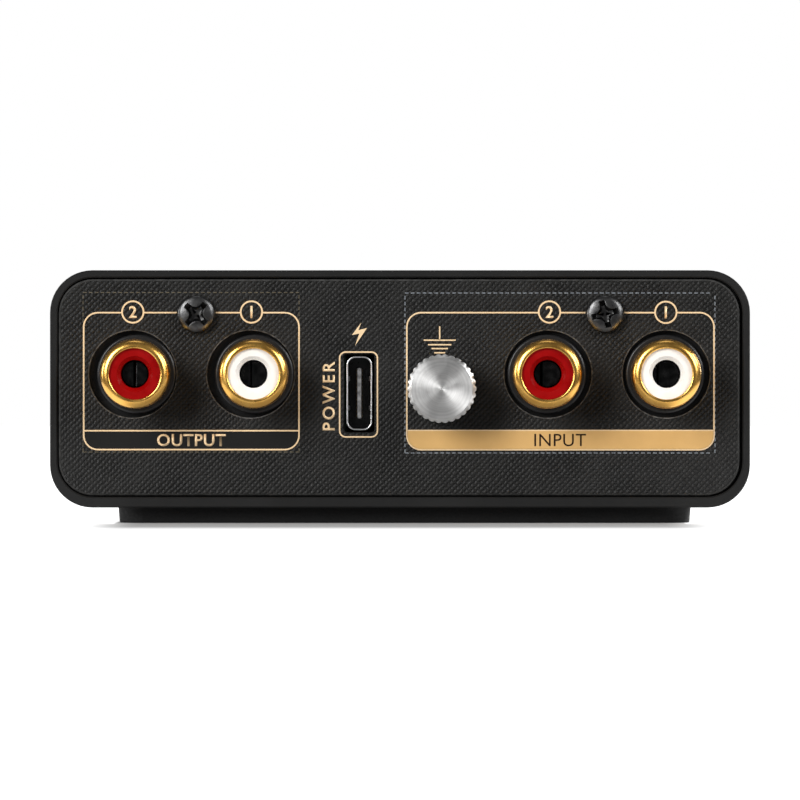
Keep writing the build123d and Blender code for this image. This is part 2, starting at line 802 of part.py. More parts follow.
# Washer and nut that clamp the front panel to the bush, hidden in the knob
pot_washer_front_y = front_face_y + pot_washer_thickness
with BuildPart() as volume_washer:
    with BuildSketch(section_plane(pot_washer_front_y)):
        with Locations((volume_x, control_z)):
            Circle(pot_washer_radius)
            Circle(pot_bush_radius + press_gap, mode=Mode.SUBTRACT)
    extrude(amount=pot_washer_thickness)
volume_washer.part.label = "volume_washer"
export_step(volume_washer.part, "parts/volume_washer.step")

with BuildPart() as volume_nut:
    with BuildSketch(section_plane(pot_washer_front_y + pot_nut_thickness)):
        with Locations((volume_x, control_z)):
            RegularPolygon(pot_nut_across / 2, 6, major_radius=False)
            Circle(pot_bush_radius + press_gap, mode=Mode.SUBTRACT)
    extrude(amount=pot_nut_thickness)
volume_nut.part.label = "volume_nut"
export_step(volume_nut.part, "parts/volume_nut.step")

# Volume knob: plain skirt, fluted grip and rounded cap, dished in front and hollow behind for the nut
knob_back_y = front_face_y + knob_gap
knob_front_y = knob_back_y + knob_length
knob_centre = (volume_x, control_z)
knob_bore_radius = shaft_radius + press_gap
with BuildPart() as volume_knob:
    with BuildSketch(section_plane(knob_front_y)):
        with Locations(knob_centre):
            Circle(knob_radius)
    extrude(amount=knob_length)
    fillet(volume_knob.faces().sort_by(Axis.Y)[-1].edges(), radius=knob_edge_radius)
    with BuildSketch(section_plane(knob_front_y - knob_cap)):
        with Locations(knob_centre):
            with PolarLocations(knob_radius, knob_flutes):
                Circle(flute_radius)
    extrude(amount=knob_length - knob_cap - knob_skirt, mode=Mode.SUBTRACT)
    with BuildSketch(section_plane(knob_front_y)):
        with Locations(knob_centre):
            Circle(knob_dish_radius)
    extrude(amount=knob_dish_depth, mode=Mode.SUBTRACT)
    with BuildSketch(section_plane(knob_back_y + knob_socket_depth)):
        with Locations(knob_centre):
            Circle(knob_socket_radius)
    extrude(amount=knob_socket_depth, mode=Mode.SUBTRACT)
    with BuildSketch(section_plane(knob_back_y + knob_bore_depth)):
        with Locations(knob_centre):
            Circle(knob_bore_radius)
        with Locations((volume_x, control_z - shaft_flat - press_gap)):
            Rectangle(2 * knob_radius, knob_radius, align=(Align.CENTER, Align.MAX), mode=Mode.SUBTRACT)
    extrude(amount=knob_bore_depth, mode=Mode.SUBTRACT)
    with BuildSketch(section_plane(knob_front_y)):
        with Locations((volume_x, control_z + (pointer_inner + pointer_outer) / 2)):
            Rectangle(pointer_width, pointer_outer - pointer_inner)
    extrude(amount=knob_dish_depth + pointer_depth, mode=Mode.SUBTRACT)
    grub_y = shaft_end_y - shaft_flat_length / 2
    with BuildSketch(Plane(origin=(volume_x, grub_y, control_z - knob_radius), z_dir=(0, 0, 1))):
        Circle(grub_radius + press_gap)
    extrude(amount=knob_radius - shaft_flat, mode=Mode.SUBTRACT)
volume_knob.part.label = "volume_knob"
export_step(volume_knob.part, "parts/volume_knob.step")

# Knob pointer: a bar let into the dished face, flush with it
with BuildPart() as knob_pointer:
    with BuildSketch(section_plane(knob_front_y - knob_dish_depth)):
        with Locations((volume_x, control_z + (pointer_inner + pointer_outer) / 2)):
            Rectangle(pointer_width, pointer_outer - pointer_inner)
    extrude(amount=pointer_depth)
knob_pointer.part.label = "knob_pointer"
export_step(knob_pointer.part, "parts/knob_pointer.step")

# Knob grub screw: bears on the shaft's flat from below
with BuildPart() as knob_grub_screw:
    grub_top_z = control_z - shaft_flat - press_gap
    with BuildSketch(Plane.XY.offset(grub_top_z - grub_length)):
        with Locations((volume_x, grub_y)):
            Circle(grub_radius)
    extrude(amount=grub_length)
    with BuildSketch(Plane.XY.offset(grub_top_z - grub_length)):
        with Locations((volume_x, grub_y)):
            RegularPolygon(grub_radius / 2, 6, major_radius=False)
    extrude(amount=grub_radius, mode=Mode.SUBTRACT)
knob_grub_screw.part.label = "knob_grub_screw"
export_step(knob_grub_screw.part, "parts/knob_grub_screw.step")

# Power switch: latching push switch on the board, open in front for its plunger
switch_front_y = front_inner_y - switch_setback
switch_height = control_z + switch_height_above_axis - board_top_z
with BuildPart() as power_switch_body:
    with BuildSketch(section_plane(switch_front_y)):
        with Locations((power_x, board_top_z)):
            Rectangle(switch_width, switch_height, align=(Align.CENTER, Align.MIN))
    extrude(amount=switch_depth)
    with BuildSketch(section_plane(switch_front_y)):
        with Locations((power_x, control_z)):
            Rectangle(plunger_width + 2 * plunger_gap, plunger_width + 2 * plunger_gap)
    extrude(amount=plunger_well, mode=Mode.SUBTRACT)
power_switch_body.part.label = "power_switch_body"
export_step(power_switch_body.part, "parts/power_switch_body.step")

# Plunger and button: the button is pushed on the plunger, its flange stays behind the panel
button_front_y = front_face_y + button_reach
plunger_front_y = button_front_y - button_reach
with BuildPart() as power_plunger:
    with BuildSketch(section_plane(plunger_front_y)):
        with Locations((power_x, control_z)):
            Rectangle(plunger_width, plunger_width)
    extrude(amount=plunger_front_y - switch_front_y + plunger_buried)
power_plunger.part.label = "power_plunger"
export_step(power_plunger.part, "parts/power_plunger.step")

with BuildPart() as power_button:
    with BuildSketch(section_plane(button_front_y)):
        with Locations((power_x, control_z)):
            Circle(button_radius)
    extrude(amount=button_length)
    fillet(power_button.faces().sort_by(Axis.Y)[-1].edges(), radius=button_edge_radius)
    with BuildSketch(section_plane(front_inner_y - button_flange_gap)):
        with Locations((power_x, control_z)):
            Circle(button_flange_radius)
    extrude(amount=button_flange_thickness)
    with BuildSketch(section_plane(plunger_front_y)):
        with Locations((power_x, control_z)):
            Rectangle(plunger_width + 2 * press_gap, plunger_width + 2 * press_gap)
    extrude(amount=button_length, mode=Mode.SUBTRACT)
power_button.part.label = "power_button"
export_step(power_button.part, "parts/power_button.step")

# Power light: domed lens through the front panel, its flange seated in a riser on the board
led_flange_front_y = front_inner_y - button_flange_gap
led_flange_back_y = led_flange_front_y - led_flange_thickness
led_dome_y = front_face_y + led_reach - led_radius
with BuildPart() as power_led:
    with BuildSketch(lathe_plane(led_x, 0, control_z)):
        with BuildLine():
            Polyline(
                (0, -led_dome_y - led_radius),
                (0, -led_flange_back_y),
                (led_flange_radius, -led_flange_back_y),
                (led_flange_radius, -led_flange_front_y),
                (led_radius, -led_flange_front_y),
                (led_radius, -led_dome_y),
            )
            RadiusArc((led_radius, -led_dome_y), (0, -led_dome_y - led_radius), led_radius)
        make_face()
    revolve(axis=outward_axis(led_x, control_z))
power_led.part.label = "power_led"
export_step(power_led.part, "parts/power_led.step")

led_holder_height = control_z + led_holder_above_axis - board_top_z
with BuildPart() as led_holder:
    with BuildSketch(section_plane(led_flange_front_y)):
        with Locations((led_x, board_top_z)):
            Rectangle(led_holder_width, led_holder_height, align=(Align.CENTER, Align.MIN))
    extrude(amount=led_holder_depth)
    with BuildSketch(section_plane(led_flange_front_y)):
        with Locations((led_x, control_z)):
            Circle(led_flange_radius + press_gap)
    extrude(amount=led_flange_thickness, mode=Mode.SUBTRACT)
led_holder.part.label = "led_holder"
export_step(led_holder.part, "parts/led_holder.step")

# Op-amps: two eight-pin packages with an end notch, each in a socket
with BuildPart() as op_amp_sockets:
    with BuildSketch(Plane.XY.offset(board_top_z)):
        with Locations(*op_amp_places):
            Rectangle(socket_width, socket_length)
    extrude(amount=socket_height)
op_amp_sockets.part.label = "op_amp_sockets"
export_step(op_amp_sockets.part, "parts/op_amp_sockets.step")

with BuildPart() as op_amps:
    with BuildSketch(Plane.XY.offset(board_top_z + socket_height)):
        with Locations(*op_amp_places):
            Rectangle(op_amp_width, op_amp_length)
            with Locations((0, op_amp_length / 2)):
                Circle(op_amp_notch_radius, mode=Mode.SUBTRACT)
    extrude(amount=op_amp_height)
op_amps.part.label = "op_amps"
export_step(op_amps.part, "parts/op_amps.step")

# Film capacitors: a row of upright boxes behind the jacks
with BuildPart() as film_capacitors:
    with BuildSketch(Plane.XY.offset(board_top_z)):
        with Locations(*[(x, film_y) for x in film_xs]):
            Rectangle(film_width, film_length)
    extrude(amount=film_height)
film_capacitors.part.label = "film_capacitors"
export_step(film_capacitors.part, "parts/film_capacitors.step")

# Electrolytic capacitors: cans with a crimped groove near the foot
with BuildPart() as electrolytic_capacitors:
    with BuildSketch(Plane.XY.offset(board_top_z)):
        with Locations(*can_places):
            Circle(can_radius)
    extrude(amount=can_height)
    with BuildSketch(Plane.XY.offset(board_top_z + can_crimp_z)):
        with Locations(*can_places):
            Circle(can_radius)
            Circle(can_radius - can_crimp_depth, mode=Mode.SUBTRACT)
    extrude(amount=2 * can_crimp_depth, mode=Mode.SUBTRACT)
electrolytic_capacitors.part.label = "electrolytic_capacitors"
export_step(electrolytic_capacitors.part, "parts/electrolytic_capacitors.step")

# Resistors: waisted bodies that lie along Y
with BuildPart() as resistors:
    for x in resistor_xs:
        for y in resistor_ys:
            resistor_z = board_top_z + resistor_radius + moving_gap
            with BuildSketch(lathe_plane(x, y, resistor_z)):
                with Locations((0, 0)):
                    Rectangle(resistor_waist, resistor_length, align=(Align.MIN, Align.CENTER))
                for end in (-1, 1):
                    with Locations((0, end * resistor_length / 3)):
                        Rectangle(resistor_radius, resistor_length / 4, align=(Align.MIN, Align.CENTER))
            revolve(axis=outward_axis(x, resistor_z))
resistors.part.label = "resistors"
export_step(resistors.part, "parts/resistors.step")

# Power converter module and the inductor beside it
with BuildPart() as power_converter:
    with BuildSketch(Plane.XY.offset(board_top_z)):
        with Locations(converter_place):
            Rectangle(converter_width, converter_length)
    extrude(amount=converter_height)
power_converter.part.label = "power_converter"
export_step(power_converter.part, "parts/power_converter.step")

with BuildPart() as power_inductor:
    with BuildSketch(Plane.XY.offset(board_top_z)):
        with Locations(inductor_place):
            Circle(inductor_radius)
    extrude(amount=inductor_height)
power_inductor.part.label = "power_inductor"
export_step(power_inductor.part, "parts/power_inductor.step")
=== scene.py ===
import math

import bmesh
import bpy
from mathutils import Matrix, Vector


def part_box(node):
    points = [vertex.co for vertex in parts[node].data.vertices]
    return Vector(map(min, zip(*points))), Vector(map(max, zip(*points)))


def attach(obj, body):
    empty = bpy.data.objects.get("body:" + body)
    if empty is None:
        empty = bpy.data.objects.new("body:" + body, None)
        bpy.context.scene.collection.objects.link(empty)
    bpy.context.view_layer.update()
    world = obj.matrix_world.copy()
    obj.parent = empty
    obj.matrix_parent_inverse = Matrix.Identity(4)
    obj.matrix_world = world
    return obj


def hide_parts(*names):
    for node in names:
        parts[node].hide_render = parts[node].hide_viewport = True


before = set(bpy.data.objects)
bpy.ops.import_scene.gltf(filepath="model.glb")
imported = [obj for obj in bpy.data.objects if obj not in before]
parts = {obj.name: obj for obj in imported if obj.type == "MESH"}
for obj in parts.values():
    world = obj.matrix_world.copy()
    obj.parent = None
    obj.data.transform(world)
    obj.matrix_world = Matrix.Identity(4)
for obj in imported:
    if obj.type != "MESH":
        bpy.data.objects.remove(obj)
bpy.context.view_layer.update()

MM = 0.001
bpy.ops.object.select_all(action="DESELECT")

# Camera: a long lens, level with the middle of the case and square to the connector panel.
# The plain view transform keeps the floor white.
rear_face = -44.9 * MM
lens_height = 14.82 * MM
lens_distance = 1100 * MM
lens_data = bpy.data.cameras.new("camera")
lens_data.lens = 411.8
lens_data.sensor_width = 36.0
lens_data.clip_end = 20.0
camera = bpy.data.objects.new("camera", lens_data)
camera.location = (0, rear_face - lens_distance, lens_height)
camera.rotation_euler = (math.pi / 2, 0, 0)
bpy.context.scene.collection.objects.link(camera)
bpy.context.scene.camera = camera
bpy.context.scene.view_settings.view_transform = "Standard"


# Lamps: a broad soft box at each side of the camera, a small one square to each side of the case, one behind
# and one for the control side.
def hang_lamp(name, place, width, height, power):
    """A soft box that faces the middle of the case."""
    light = bpy.data.lights.new(name, "AREA")
    light.shape = "RECTANGLE"
    light.size = width
    light.size_y = height
    light.energy = power
    lamp = bpy.data.objects.new(name, light)
    lamp.location = place
    aim = Vector((0, 0, 15 * MM)) - Vector(place)
    lamp.rotation_euler = aim.to_track_quat("-Z", "Y").to_euler()
    lamp.visible_camera = False
    bpy.context.scene.collection.objects.link(lamp)


hang_lamp("key_box", (-0.76, -1.14, 0.46), 0.5, 0.65, 14.5)
hang_lamp("fill_box", (0.94, -0.90, 0.52), 0.45, 0.6, 8.5)
hang_lamp("left_box", (-1.25, -0.15, 0.15), 0.25, 0.5, 4.0)
hang_lamp("right_box", (1.15, -0.15, 0.60), 0.3, 0.4, 5.0)
hang_lamp("back_box", (0.0, 0.75, 0.62), 1.0, 0.4, 5.5)
hang_lamp("control_box", (0.80, 1.02, 0.36), 0.5, 0.6, 10.0)


# World: white behind the object and in its metal and clear parts, a softer grey for the light it gives.
# The kind of ray tells the two apart.
def join_math(tree, operation, *terms):
    """A math node on sockets and plain numbers; gives its output."""
    node = tree.nodes.new("ShaderNodeMath")
    node.operation = operation
    for socket, term in zip(node.inputs, terms):
        if isinstance(term, float):
            socket.default_value = term
        else:
            tree.links.new(term, socket)
    return node.outputs[0]


def remap(tree, value, low, high, start=0.0, stop=1.0):
    """A node that carries a value's run from start to stop over to low and high."""
    node = tree.nodes.new("ShaderNodeMapRange")
    node.inputs["From Min"].default_value = start
    node.inputs["From Max"].default_value = stop
    node.inputs["To Min"].default_value = low
    node.inputs["To Max"].default_value = high
    tree.links.new(value, node.inputs["Value"])
    return node


def add_sight(tree):
    """One for the rays of the camera, of gloss and of clear parts, and none for the others."""
    ray = tree.nodes.new("ShaderNodeLightPath")
    direct = join_math(tree, "MAXIMUM", ray.outputs["Is Camera Ray"], ray.outputs["Is Glossy Ray"])
    return join_math(tree, "MAXIMUM", direct, ray.outputs["Is Transmission Ray"])


soft_grey = 0.35
world = bpy.data.worlds.new("studio")
bpy.context.scene.world = world
world.use_nodes = True
sky = world.node_tree
sky_light = sky.nodes["Background"]
sky_light.inputs["Color"].default_value = (1, 1, 1, 1)
sky_level = remap(sky, add_sight(sky), soft_grey, 1.0)
sky.links.new(sky_level.outputs["Result"], sky_light.inputs["Strength"])

# Floor: a white sheet, lit to white by its own glow where the camera and the metal see it. The glow is held
# low under the object and in front of and behind its pad, a painted shadow in which the object's real shadow
# also shows; beside the pad it glows full.
floor_colour = 0.37
near_glow = 0.05
shade_across = (31 * MM, 40 * MM)
shade_along = (70 * MM, 114 * MM)
pad_sides = (34 * MM, 34.6 * MM)
pad_ends = (55 * MM, 47 * MM)
bpy.ops.mesh.primitive_plane_add(size=8.0, location=(0, 0, 0))
floor = bpy.context.object
floor.name = "floor"
paper = bpy.data.materials.new("white_paper")
paper.use_nodes = True
paper_tree = paper.node_tree
paper_tree.nodes.remove(paper_tree.nodes["Principled BSDF"])
paper_matte = paper_tree.nodes.new("ShaderNodeBsdfDiffuse")
paper_matte.inputs["Color"].default_value = (floor_colour, floor_colour, floor_colour, 1)
paper_glow = paper_tree.nodes.new("ShaderNodeEmission")
paper_place = paper_tree.nodes.new("ShaderNodeTexCoord")
paper_axes = paper_tree.nodes.new("ShaderNodeSeparateXYZ")
paper_tree.links.new(paper_place.outputs["Object"], paper_axes.inputs[0])


def fade_shade(axis, full, none):
    """The painted shadow's level along an axis: full at one distance from the middle, none at the other."""
    distance = join_math(paper_tree, "ABSOLUTE", paper_axes.outputs[axis])
    fade = remap(paper_tree, distance, 1.0, 0.0, full, none)
    fade.interpolation_type = "SMOOTHSTEP"
    return fade.outputs["Result"]


painted_paper_shadow = join_math(paper_tree, "MULTIPLY", fade_shade("X", *shade_across), fade_shade("Y", *shade_along))
paper_open = join_math(paper_tree, "MAXIMUM", fade_shade("X", *pad_sides), fade_shade("Y", *pad_ends))
paper_fade = remap(paper_tree, join_math(paper_tree, "MULTIPLY", painted_paper_shadow, paper_open), 1.0, near_glow)
paper_level = join_math(paper_tree, "MULTIPLY", add_sight(paper_tree), paper_fade.outputs["Result"])
paper_tree.links.new(paper_level, paper_glow.inputs["Strength"])
paper_sum = paper_tree.nodes.new("ShaderNodeAddShader")
paper_tree.links.new(paper_matte.outputs[0], paper_sum.inputs[0])
paper_tree.links.new(paper_glow.outputs[0], paper_sum.inputs[1])
paper_tree.links.new(paper_sum.outputs[0], paper_tree.nodes["Material Output"].inputs["Surface"])
floor.data.materials.append(paper)

# Curtain: black cloth that only the gloss of the pieces sees. It hangs round the set and lies on the floor
# further out, a little above the paper.
curtain_radius = 2.6
curtain_height = 12.0
curtain_sides = 48
bare_floor_radius = 0.11
cloth_lift = 0.5 * MM
cloth = bpy.data.materials.new("black_cloth")
cloth.use_nodes = True
cloth_nodes = cloth.node_tree.nodes
cloth_nodes.remove(cloth_nodes["Principled BSDF"])
cloth_glow = cloth_nodes.new("ShaderNodeEmission")
cloth_glow.inputs["Color"].default_value = (1, 1, 1, 1)
cloth_glow.inputs["Strength"].default_value = 0.09
cloth.node_tree.links.new(cloth_glow.outputs[0], cloth_nodes["Material Output"].inputs["Surface"])


def hang_cloth(sheet):
    """Makes a sheet black cloth that only gloss sees."""
    sheet.visible_camera = False
    sheet.visible_diffuse = False
    sheet.visible_shadow = False
    sheet.visible_transmission = False
    sheet.data.materials.append(cloth)


def open_mesh(name):
    """Names a new primitive, sets its place into its mesh and opens it, with every face selected."""
    piece = bpy.context.object
    piece.name = name
    bpy.ops.object.transform_apply(location=True, rotation=True, scale=True)
    bpy.ops.object.mode_set(mode="EDIT")
    bpy.context.tool_settings.mesh_select_mode = (False, False, True)
    bpy.ops.mesh.select_all(action="SELECT")
    return piece


def cut_ring(width):
    """Leaves only the border of an open flat plate."""
    bpy.ops.mesh.inset(thickness=width)
    bpy.ops.mesh.delete(type="FACE")


bpy.ops.mesh.primitive_cylinder_add(
    vertices=curtain_sides,
    radius=curtain_radius,
    depth=curtain_height,
    end_fill_type="NOTHING",
    location=(0, 0, curtain_height / 2),
)
curtain = bpy.context.object
curtain.name = "curtain"
hang_cloth(curtain)
bpy.ops.mesh.primitive_circle_add(
    vertices=curtain_sides, radius=curtain_radius, fill_type="NGON", location=(0, 0, cloth_lift)
)
floor_cloth = open_mesh("floor_cloth")
cut_ring(curtain_radius - bare_floor_radius)
bpy.ops.object.mode_set(mode="OBJECT")
hang_cloth(floor_cloth)


# Sleeve: extruded aluminium tube, blasted and anodised black, sawn and broken at the ends.
# The die left faint lines along it.
def new_finish(name, roughness, metallic=0.0, specular=0.5):
    """A material with the values that are the same all over; its roughness is the one without grain."""
    finish = bpy.data.materials.new(name)
    finish.use_nodes = True
    shader = finish.node_tree.nodes["Principled BSDF"]
    shader.inputs["Roughness"].default_value = roughness
    shader.inputs["Metallic"].default_value = metallic
    shader.inputs["Specular IOR Level"].default_value = specular
    return finish


def add_grain(finish, size, stretch=(1, 1, 1), detail=3.0):
    """Noise of a grain size in metres, drawn out along the axes by stretch."""
    tree = finish.node_tree
    place = tree.nodes.new("ShaderNodeTexCoord")
    spread = tree.nodes.new("ShaderNodeMapping")
    noise = tree.nodes.new("ShaderNodeTexNoise")
    spread.inputs["Scale"].default_value = [1 / (size * longer) for longer in stretch]
    noise.inputs["Scale"].default_value = 1.0
    noise.inputs["Detail"].default_value = detail
    tree.links.new(place.outputs["Object"], spread.inputs["Vector"])
    tree.links.new(spread.outputs["Vector"], noise.inputs["Vector"])
    return noise.outputs["Fac"]


def tint(finish, mask, low_colour, high_colour, low=0.35, high=0.65):
    """Colour that runs from one to the other with the mask."""
    tree = finish.node_tree
    ramp = tree.nodes.new("ShaderNodeValToRGB")
    ramp.color_ramp.elements[0].position = low
    ramp.color_ramp.elements[0].color = (*low_colour, 1)
    ramp.color_ramp.elements[1].position = high
    ramp.color_ramp.elements[1].color = (*high_colour, 1)
    tree.links.new(mask, ramp.inputs["Fac"])
    tree.links.new(ramp.outputs["Color"], tree.nodes["Principled BSDF"].inputs["Base Color"])


def vary_roughness(finish, mask, smooth, rough):
    """Roughness that runs from smooth to rough with the mask."""
    tree = finish.node_tree
    spread = remap(tree, mask, smooth, rough, 0.3, 0.7)
    tree.links.new(spread.outputs["Result"], tree.nodes["Principled BSDF"].inputs["Roughness"])


def emboss(finish, height, depth):
    """Bump of a depth in metres, on top of any that the finish has already."""
    tree = finish.node_tree
    bump = tree.nodes.new("ShaderNodeBump")
    normal = tree.nodes["Principled BSDF"].inputs["Normal"]
    bump.inputs["Strength"].default_value = 1.0
    bump.inputs["Distance"].default_value = depth
    if normal.links:
        tree.links.new(normal.links[0].from_socket, bump.inputs["Normal"])
    tree.links.new(height, bump.inputs["Height"])
    tree.links.new(bump.outputs["Normal"], normal)


def dress(finish, *names):
    """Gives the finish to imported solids."""
    for name in names:
        for place in parts[name].material_slots:
            place.material = finish


anodised = new_finish("anodised_black", 0.62, specular=0.2)
anodised_cloud = add_grain(anodised, 6 * MM)
tint(anodised, anodised_cloud, (0.0075, 0.0075, 0.0074), (0.0105, 0.0104, 0.0102))
vary_roughness(anodised, anodised_cloud, 0.61, 0.635)
emboss(anodised, add_grain(anodised, 0.5 * MM, stretch=(1, 60, 1)), 0.004 * MM)
emboss(anodised, add_grain(anodised, 0.12 * MM, detail=2.0), 0.014 * MM)
dress(anodised, "sleeve")

# Base pad: moulded rubber, matt, with a fine spark-eroded grain from its mould.
# It is glued under the case and hides the four screws in the case floor.
rubber = new_finish("pad_rubber", 0.62, specular=0.3)
rubber_grain = add_grain(rubber, 0.25 * MM)
tint(rubber, add_grain(rubber, 9 * MM), (0.006, 0.006, 0.0061), (0.009, 0.0089, 0.0087))
vary_roughness(rubber, rubber_grain, 0.55, 0.72)
emboss(rubber, rubber_grain, 0.012 * MM)
dress(rubber, "base_pad")

# End panels: sheet metal with a textured black coat, an embossed lattice of ribs and dots, its colour painted
# darker in the valleys and paler on the tops as painted shade.
# The ribs that climb to the right stand higher than those that fall.
coat_pitch = 0.715 * MM
coat_depth = 0.032 * MM
coat_wander = 0.3 * MM
coat_bead = 0.6
coat_valley_shade = 0.5
coat = new_finish("textured_coat", 0.4, specular=0.22)


def add_ribs(finish, across, up, share):
    """Cosine ribs on the panel that wander a little: across and up are their turns a pitch along X and Z."""
    tree = finish.node_tree
    place = tree.nodes.new("ShaderNodeTexCoord")
    drift = tree.nodes.new("ShaderNodeTexNoise")
    drift.inputs["Scale"].default_value = 1 / coat_pitch
    drift.inputs["Detail"].default_value = 1.0
    wander = tree.nodes.new("ShaderNodeVectorMath")
    wander.operation = "MULTIPLY_ADD"
    wander.inputs[1].default_value = (coat_wander, coat_wander, coat_wander)
    along = tree.nodes.new("ShaderNodeVectorMath")
    along.operation = "DOT_PRODUCT"
    along.inputs[1].default_value = (across * math.tau / coat_pitch, 0, up * math.tau / coat_pitch)
    tree.links.new(place.outputs["Object"], drift.inputs["Vector"])
    tree.links.new(drift.outputs["Color"], wander.inputs[0])
    tree.links.new(place.outputs["Object"], wander.inputs[2])
    tree.links.new(wander.outputs["Vector"], along.inputs[0])
    wave = join_math(tree, "COSINE", along.outputs["Value"])
    return join_math(tree, "MULTIPLY", wave, share)


coat_rising = add_ribs(coat, 1, -1, 1.0)
coat_falling = add_ribs(coat, 1, 1, 0.5)
coat_beads = join_math(coat.node_tree, "ADD", coat_falling, coat_bead)
coat_lattice = join_math(coat.node_tree, "MULTIPLY", coat_beads, coat_rising)
coat_cloud = add_grain(coat, 5 * MM)
# Painted shade: the lattice darkens the coat's colour in its valleys and pales it on its tops, over the
# coat's random clouds.
coat_cloud_and_valley_shade = join_math(coat.node_tree, "MULTIPLY_ADD", coat_lattice, coat_valley_shade, coat_cloud)
tint(coat, coat_cloud_and_valley_shade, (0.001, 0.001, 0.0009), (0.0165, 0.0162, 0.0153), 0.15, 0.85)
vary_roughness(coat, coat_cloud, 0.38, 0.47)
emboss(coat, coat_lattice, coat_depth)
emboss(coat, add_grain(coat, 0.2 * MM, detail=2.0), 0.055 * MM)
dress(coat, "rear_panel", "front_panel")


# Print on the connector panel: gold and black ink, silk-screened and a little proud of the coat.
# Each pair of jacks has a rounded frame with a title bar at its foot.
def mix_gold(name, metallic, low_colour, high_colour):
    """Ink with fine metal flake in it."""
    ink = new_finish(name, 0.4, metallic=metallic)
    flake = add_grain(ink, 0.08 * MM, detail=2.0)
    tint(ink, add_grain(ink, 4 * MM), low_colour, high_colour)
    vary_roughness(ink, flake, 0.34, 0.5)
    emboss(ink, flake, 0.003 * MM)
    return ink


def mix_dark(name, specular, low_colour, high_colour):
    """Plain ink with a fine grain."""
    ink = new_finish(name, 0.5, specular=specular)
    grain = add_grain(ink, 0.1 * MM)
    tint(ink, grain, low_colour, high_colour)
    emboss(ink, grain, 0.003 * MM)
    return ink


ink_thickness = 0.02 * MM
gold_ink = mix_gold("gold_ink", 0.35, (0.69, 0.415, 0.147), (0.75, 0.46, 0.17))
pale_ink = mix_gold("pale_gold_ink", 0.25, (0.86, 0.62, 0.36), (0.92, 0.68, 0.41))
black_ink = mix_dark("black_ink", 0.16, (0.0075, 0.0075, 0.0072), (0.01, 0.0099, 0.0096))
brown_ink = mix_dark("brown_ink", 0.1, (0.01, 0.004, 0.003), (0.016, 0.007, 0.005))


def choose(piece, kind, wanted):
    """Selects only the wanted verts, edges or faces of an open piece; wanted takes one of them."""
    bpy.context.tool_settings.mesh_select_mode = (kind == "verts", kind == "edges", kind == "faces")
    mesh = bmesh.from_edit_mesh(piece.data)
    for sort in (mesh.verts, mesh.edges, mesh.faces):
        for element in sort:
            element.select_set(False)
    for element in getattr(mesh, kind):
        if wanted(element):
            element.select_set(True)
    mesh.select_flush_mode()
    bmesh.update_edit_mesh(piece.data)


def middle(element):
    """The middle of an edge or a face."""
    if hasattr(element, "calc_center_median"):
        return element.calc_center_median()
    return (element.verts[0].co + element.verts[1].co) / 2


def add_plate(name, x, z, width, height, y=rear_face, corner=0.0, steps=8):
    """A flat plate at y that faces -Y, its corners rounded; left open with every face selected."""
    bpy.ops.mesh.primitive_plane_add(size=1.0, location=(x, y, z), rotation=(math.pi / 2, 0, 0))
    bpy.context.object.scale = (width, height, 1)
    plate = open_mesh(name)
    if corner:
        bpy.ops.mesh.bevel(offset=corner, segments=steps, affect="VERTICES")
        bpy.ops.mesh.select_all(action="SELECT")
    return plate


def add_span(name, left, right, bottom, top, y=rear_face, corner=0.0, steps=8):
    """A plate that is given by its four sides."""
    x = (left + right) / 2
    z = (bottom + top) / 2
    return add_plate(name, x, z, right - left, top - bottom, y, corner, steps)


def cut_gap(plate, x, z, half_width):
    """Takes out the stretch of a line along X that passes x, z."""
    for side in (-1, 1):
        bpy.ops.mesh.select_all(action="SELECT")
        bpy.ops.mesh.bisect(plane_co=(x + side * half_width, 0, 0), plane_no=(1, 0, 0))

    def is_in_gap(face):
        at = middle(face)
        return abs(at.x - x) < half_width and abs(at.z - z) < 1 * MM

    choose(plate, "faces", is_in_gap)
    bpy.ops.mesh.delete(type="FACE")


def round_foot(plate, bottom, corner):
    """Rounds the two lower corners of a plate."""
    choose(plate, "verts", lambda vert: vert.co.z < bottom + 1 * MM)
    bpy.ops.mesh.bevel(offset=corner, segments=8, affect="VERTICES")


def finish_print(plate, ink=pale_ink, thickness=ink_thickness):
    """Gives flat print its thickness and ink, and sets it on the case."""
    bpy.ops.object.mode_set(mode="OBJECT")
    thick = plate.modifiers.new("thickness", "SOLIDIFY")
    thick.thickness = thickness
    thick.offset = 1.0
    bpy.ops.object.modifier_apply(modifier=thick.name)
    plate.data.materials.clear()
    plate.data.materials.append(ink)
    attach(plate, "case")
    plate.select_set(False)


frame_line = 0.18 * MM
frame_corner = 1.8 * MM
frame_top = 25.41 * MM
ring_gap = 1.39 * MM
screw_gap = 2.35 * MM
screw_xs = {"line_out": -24.5 * MM, "phono_in": 24.64 * MM}
ring_places = {
    "line_out_right": (-32.12 * MM, 25.4 * MM),
    "line_out_left": (-17.86 * MM, 25.4 * MM),
    "phono_in_right": (17.97 * MM, 25.4 * MM),
    "phono_in_left": (31.95 * MM, 25.36 * MM),
}


def print_frame(group, left, right, bottom):
    """The frame round a pair of jacks, open at the top for the two channel rings and the screw."""
    border = add_span(f"{group}_frame", left, right, bottom, frame_top, corner=frame_corner)
    cut_ring(frame_line)
    for jack_name, (ring_x, ring_z) in ring_places.items():
        if jack_name.startswith(group):
            cut_gap(border, ring_x, frame_top, ring_gap)
    cut_gap(border, screw_xs[group], frame_top, screw_gap)
    finish_print(border)


out_left = -38.11 * MM
out_right = -12.05 * MM
out_bottom = 8.77 * MM
divider_z = 11.13 * MM
strip_rise = 0.2 * MM
strip_corner = 1.5 * MM
print_frame("line_out", out_left, out_right, out_bottom)
line_out_divider = add_span(
    "line_out_divider",
    out_left + frame_line,
    out_right - frame_line,
    divider_z - frame_line / 2,
    divider_z + frame_line / 2,
)
finish_print(line_out_divider)
line_out_strip = add_span(
    "line_out_strip",
    out_left + frame_line,
    out_right - frame_line,
    out_bottom + strip_rise,
    divider_z + strip_rise,
)
round_foot(line_out_strip, out_bottom, strip_corner)
finish_print(line_out_strip, black_ink, ink_thickness / 2)

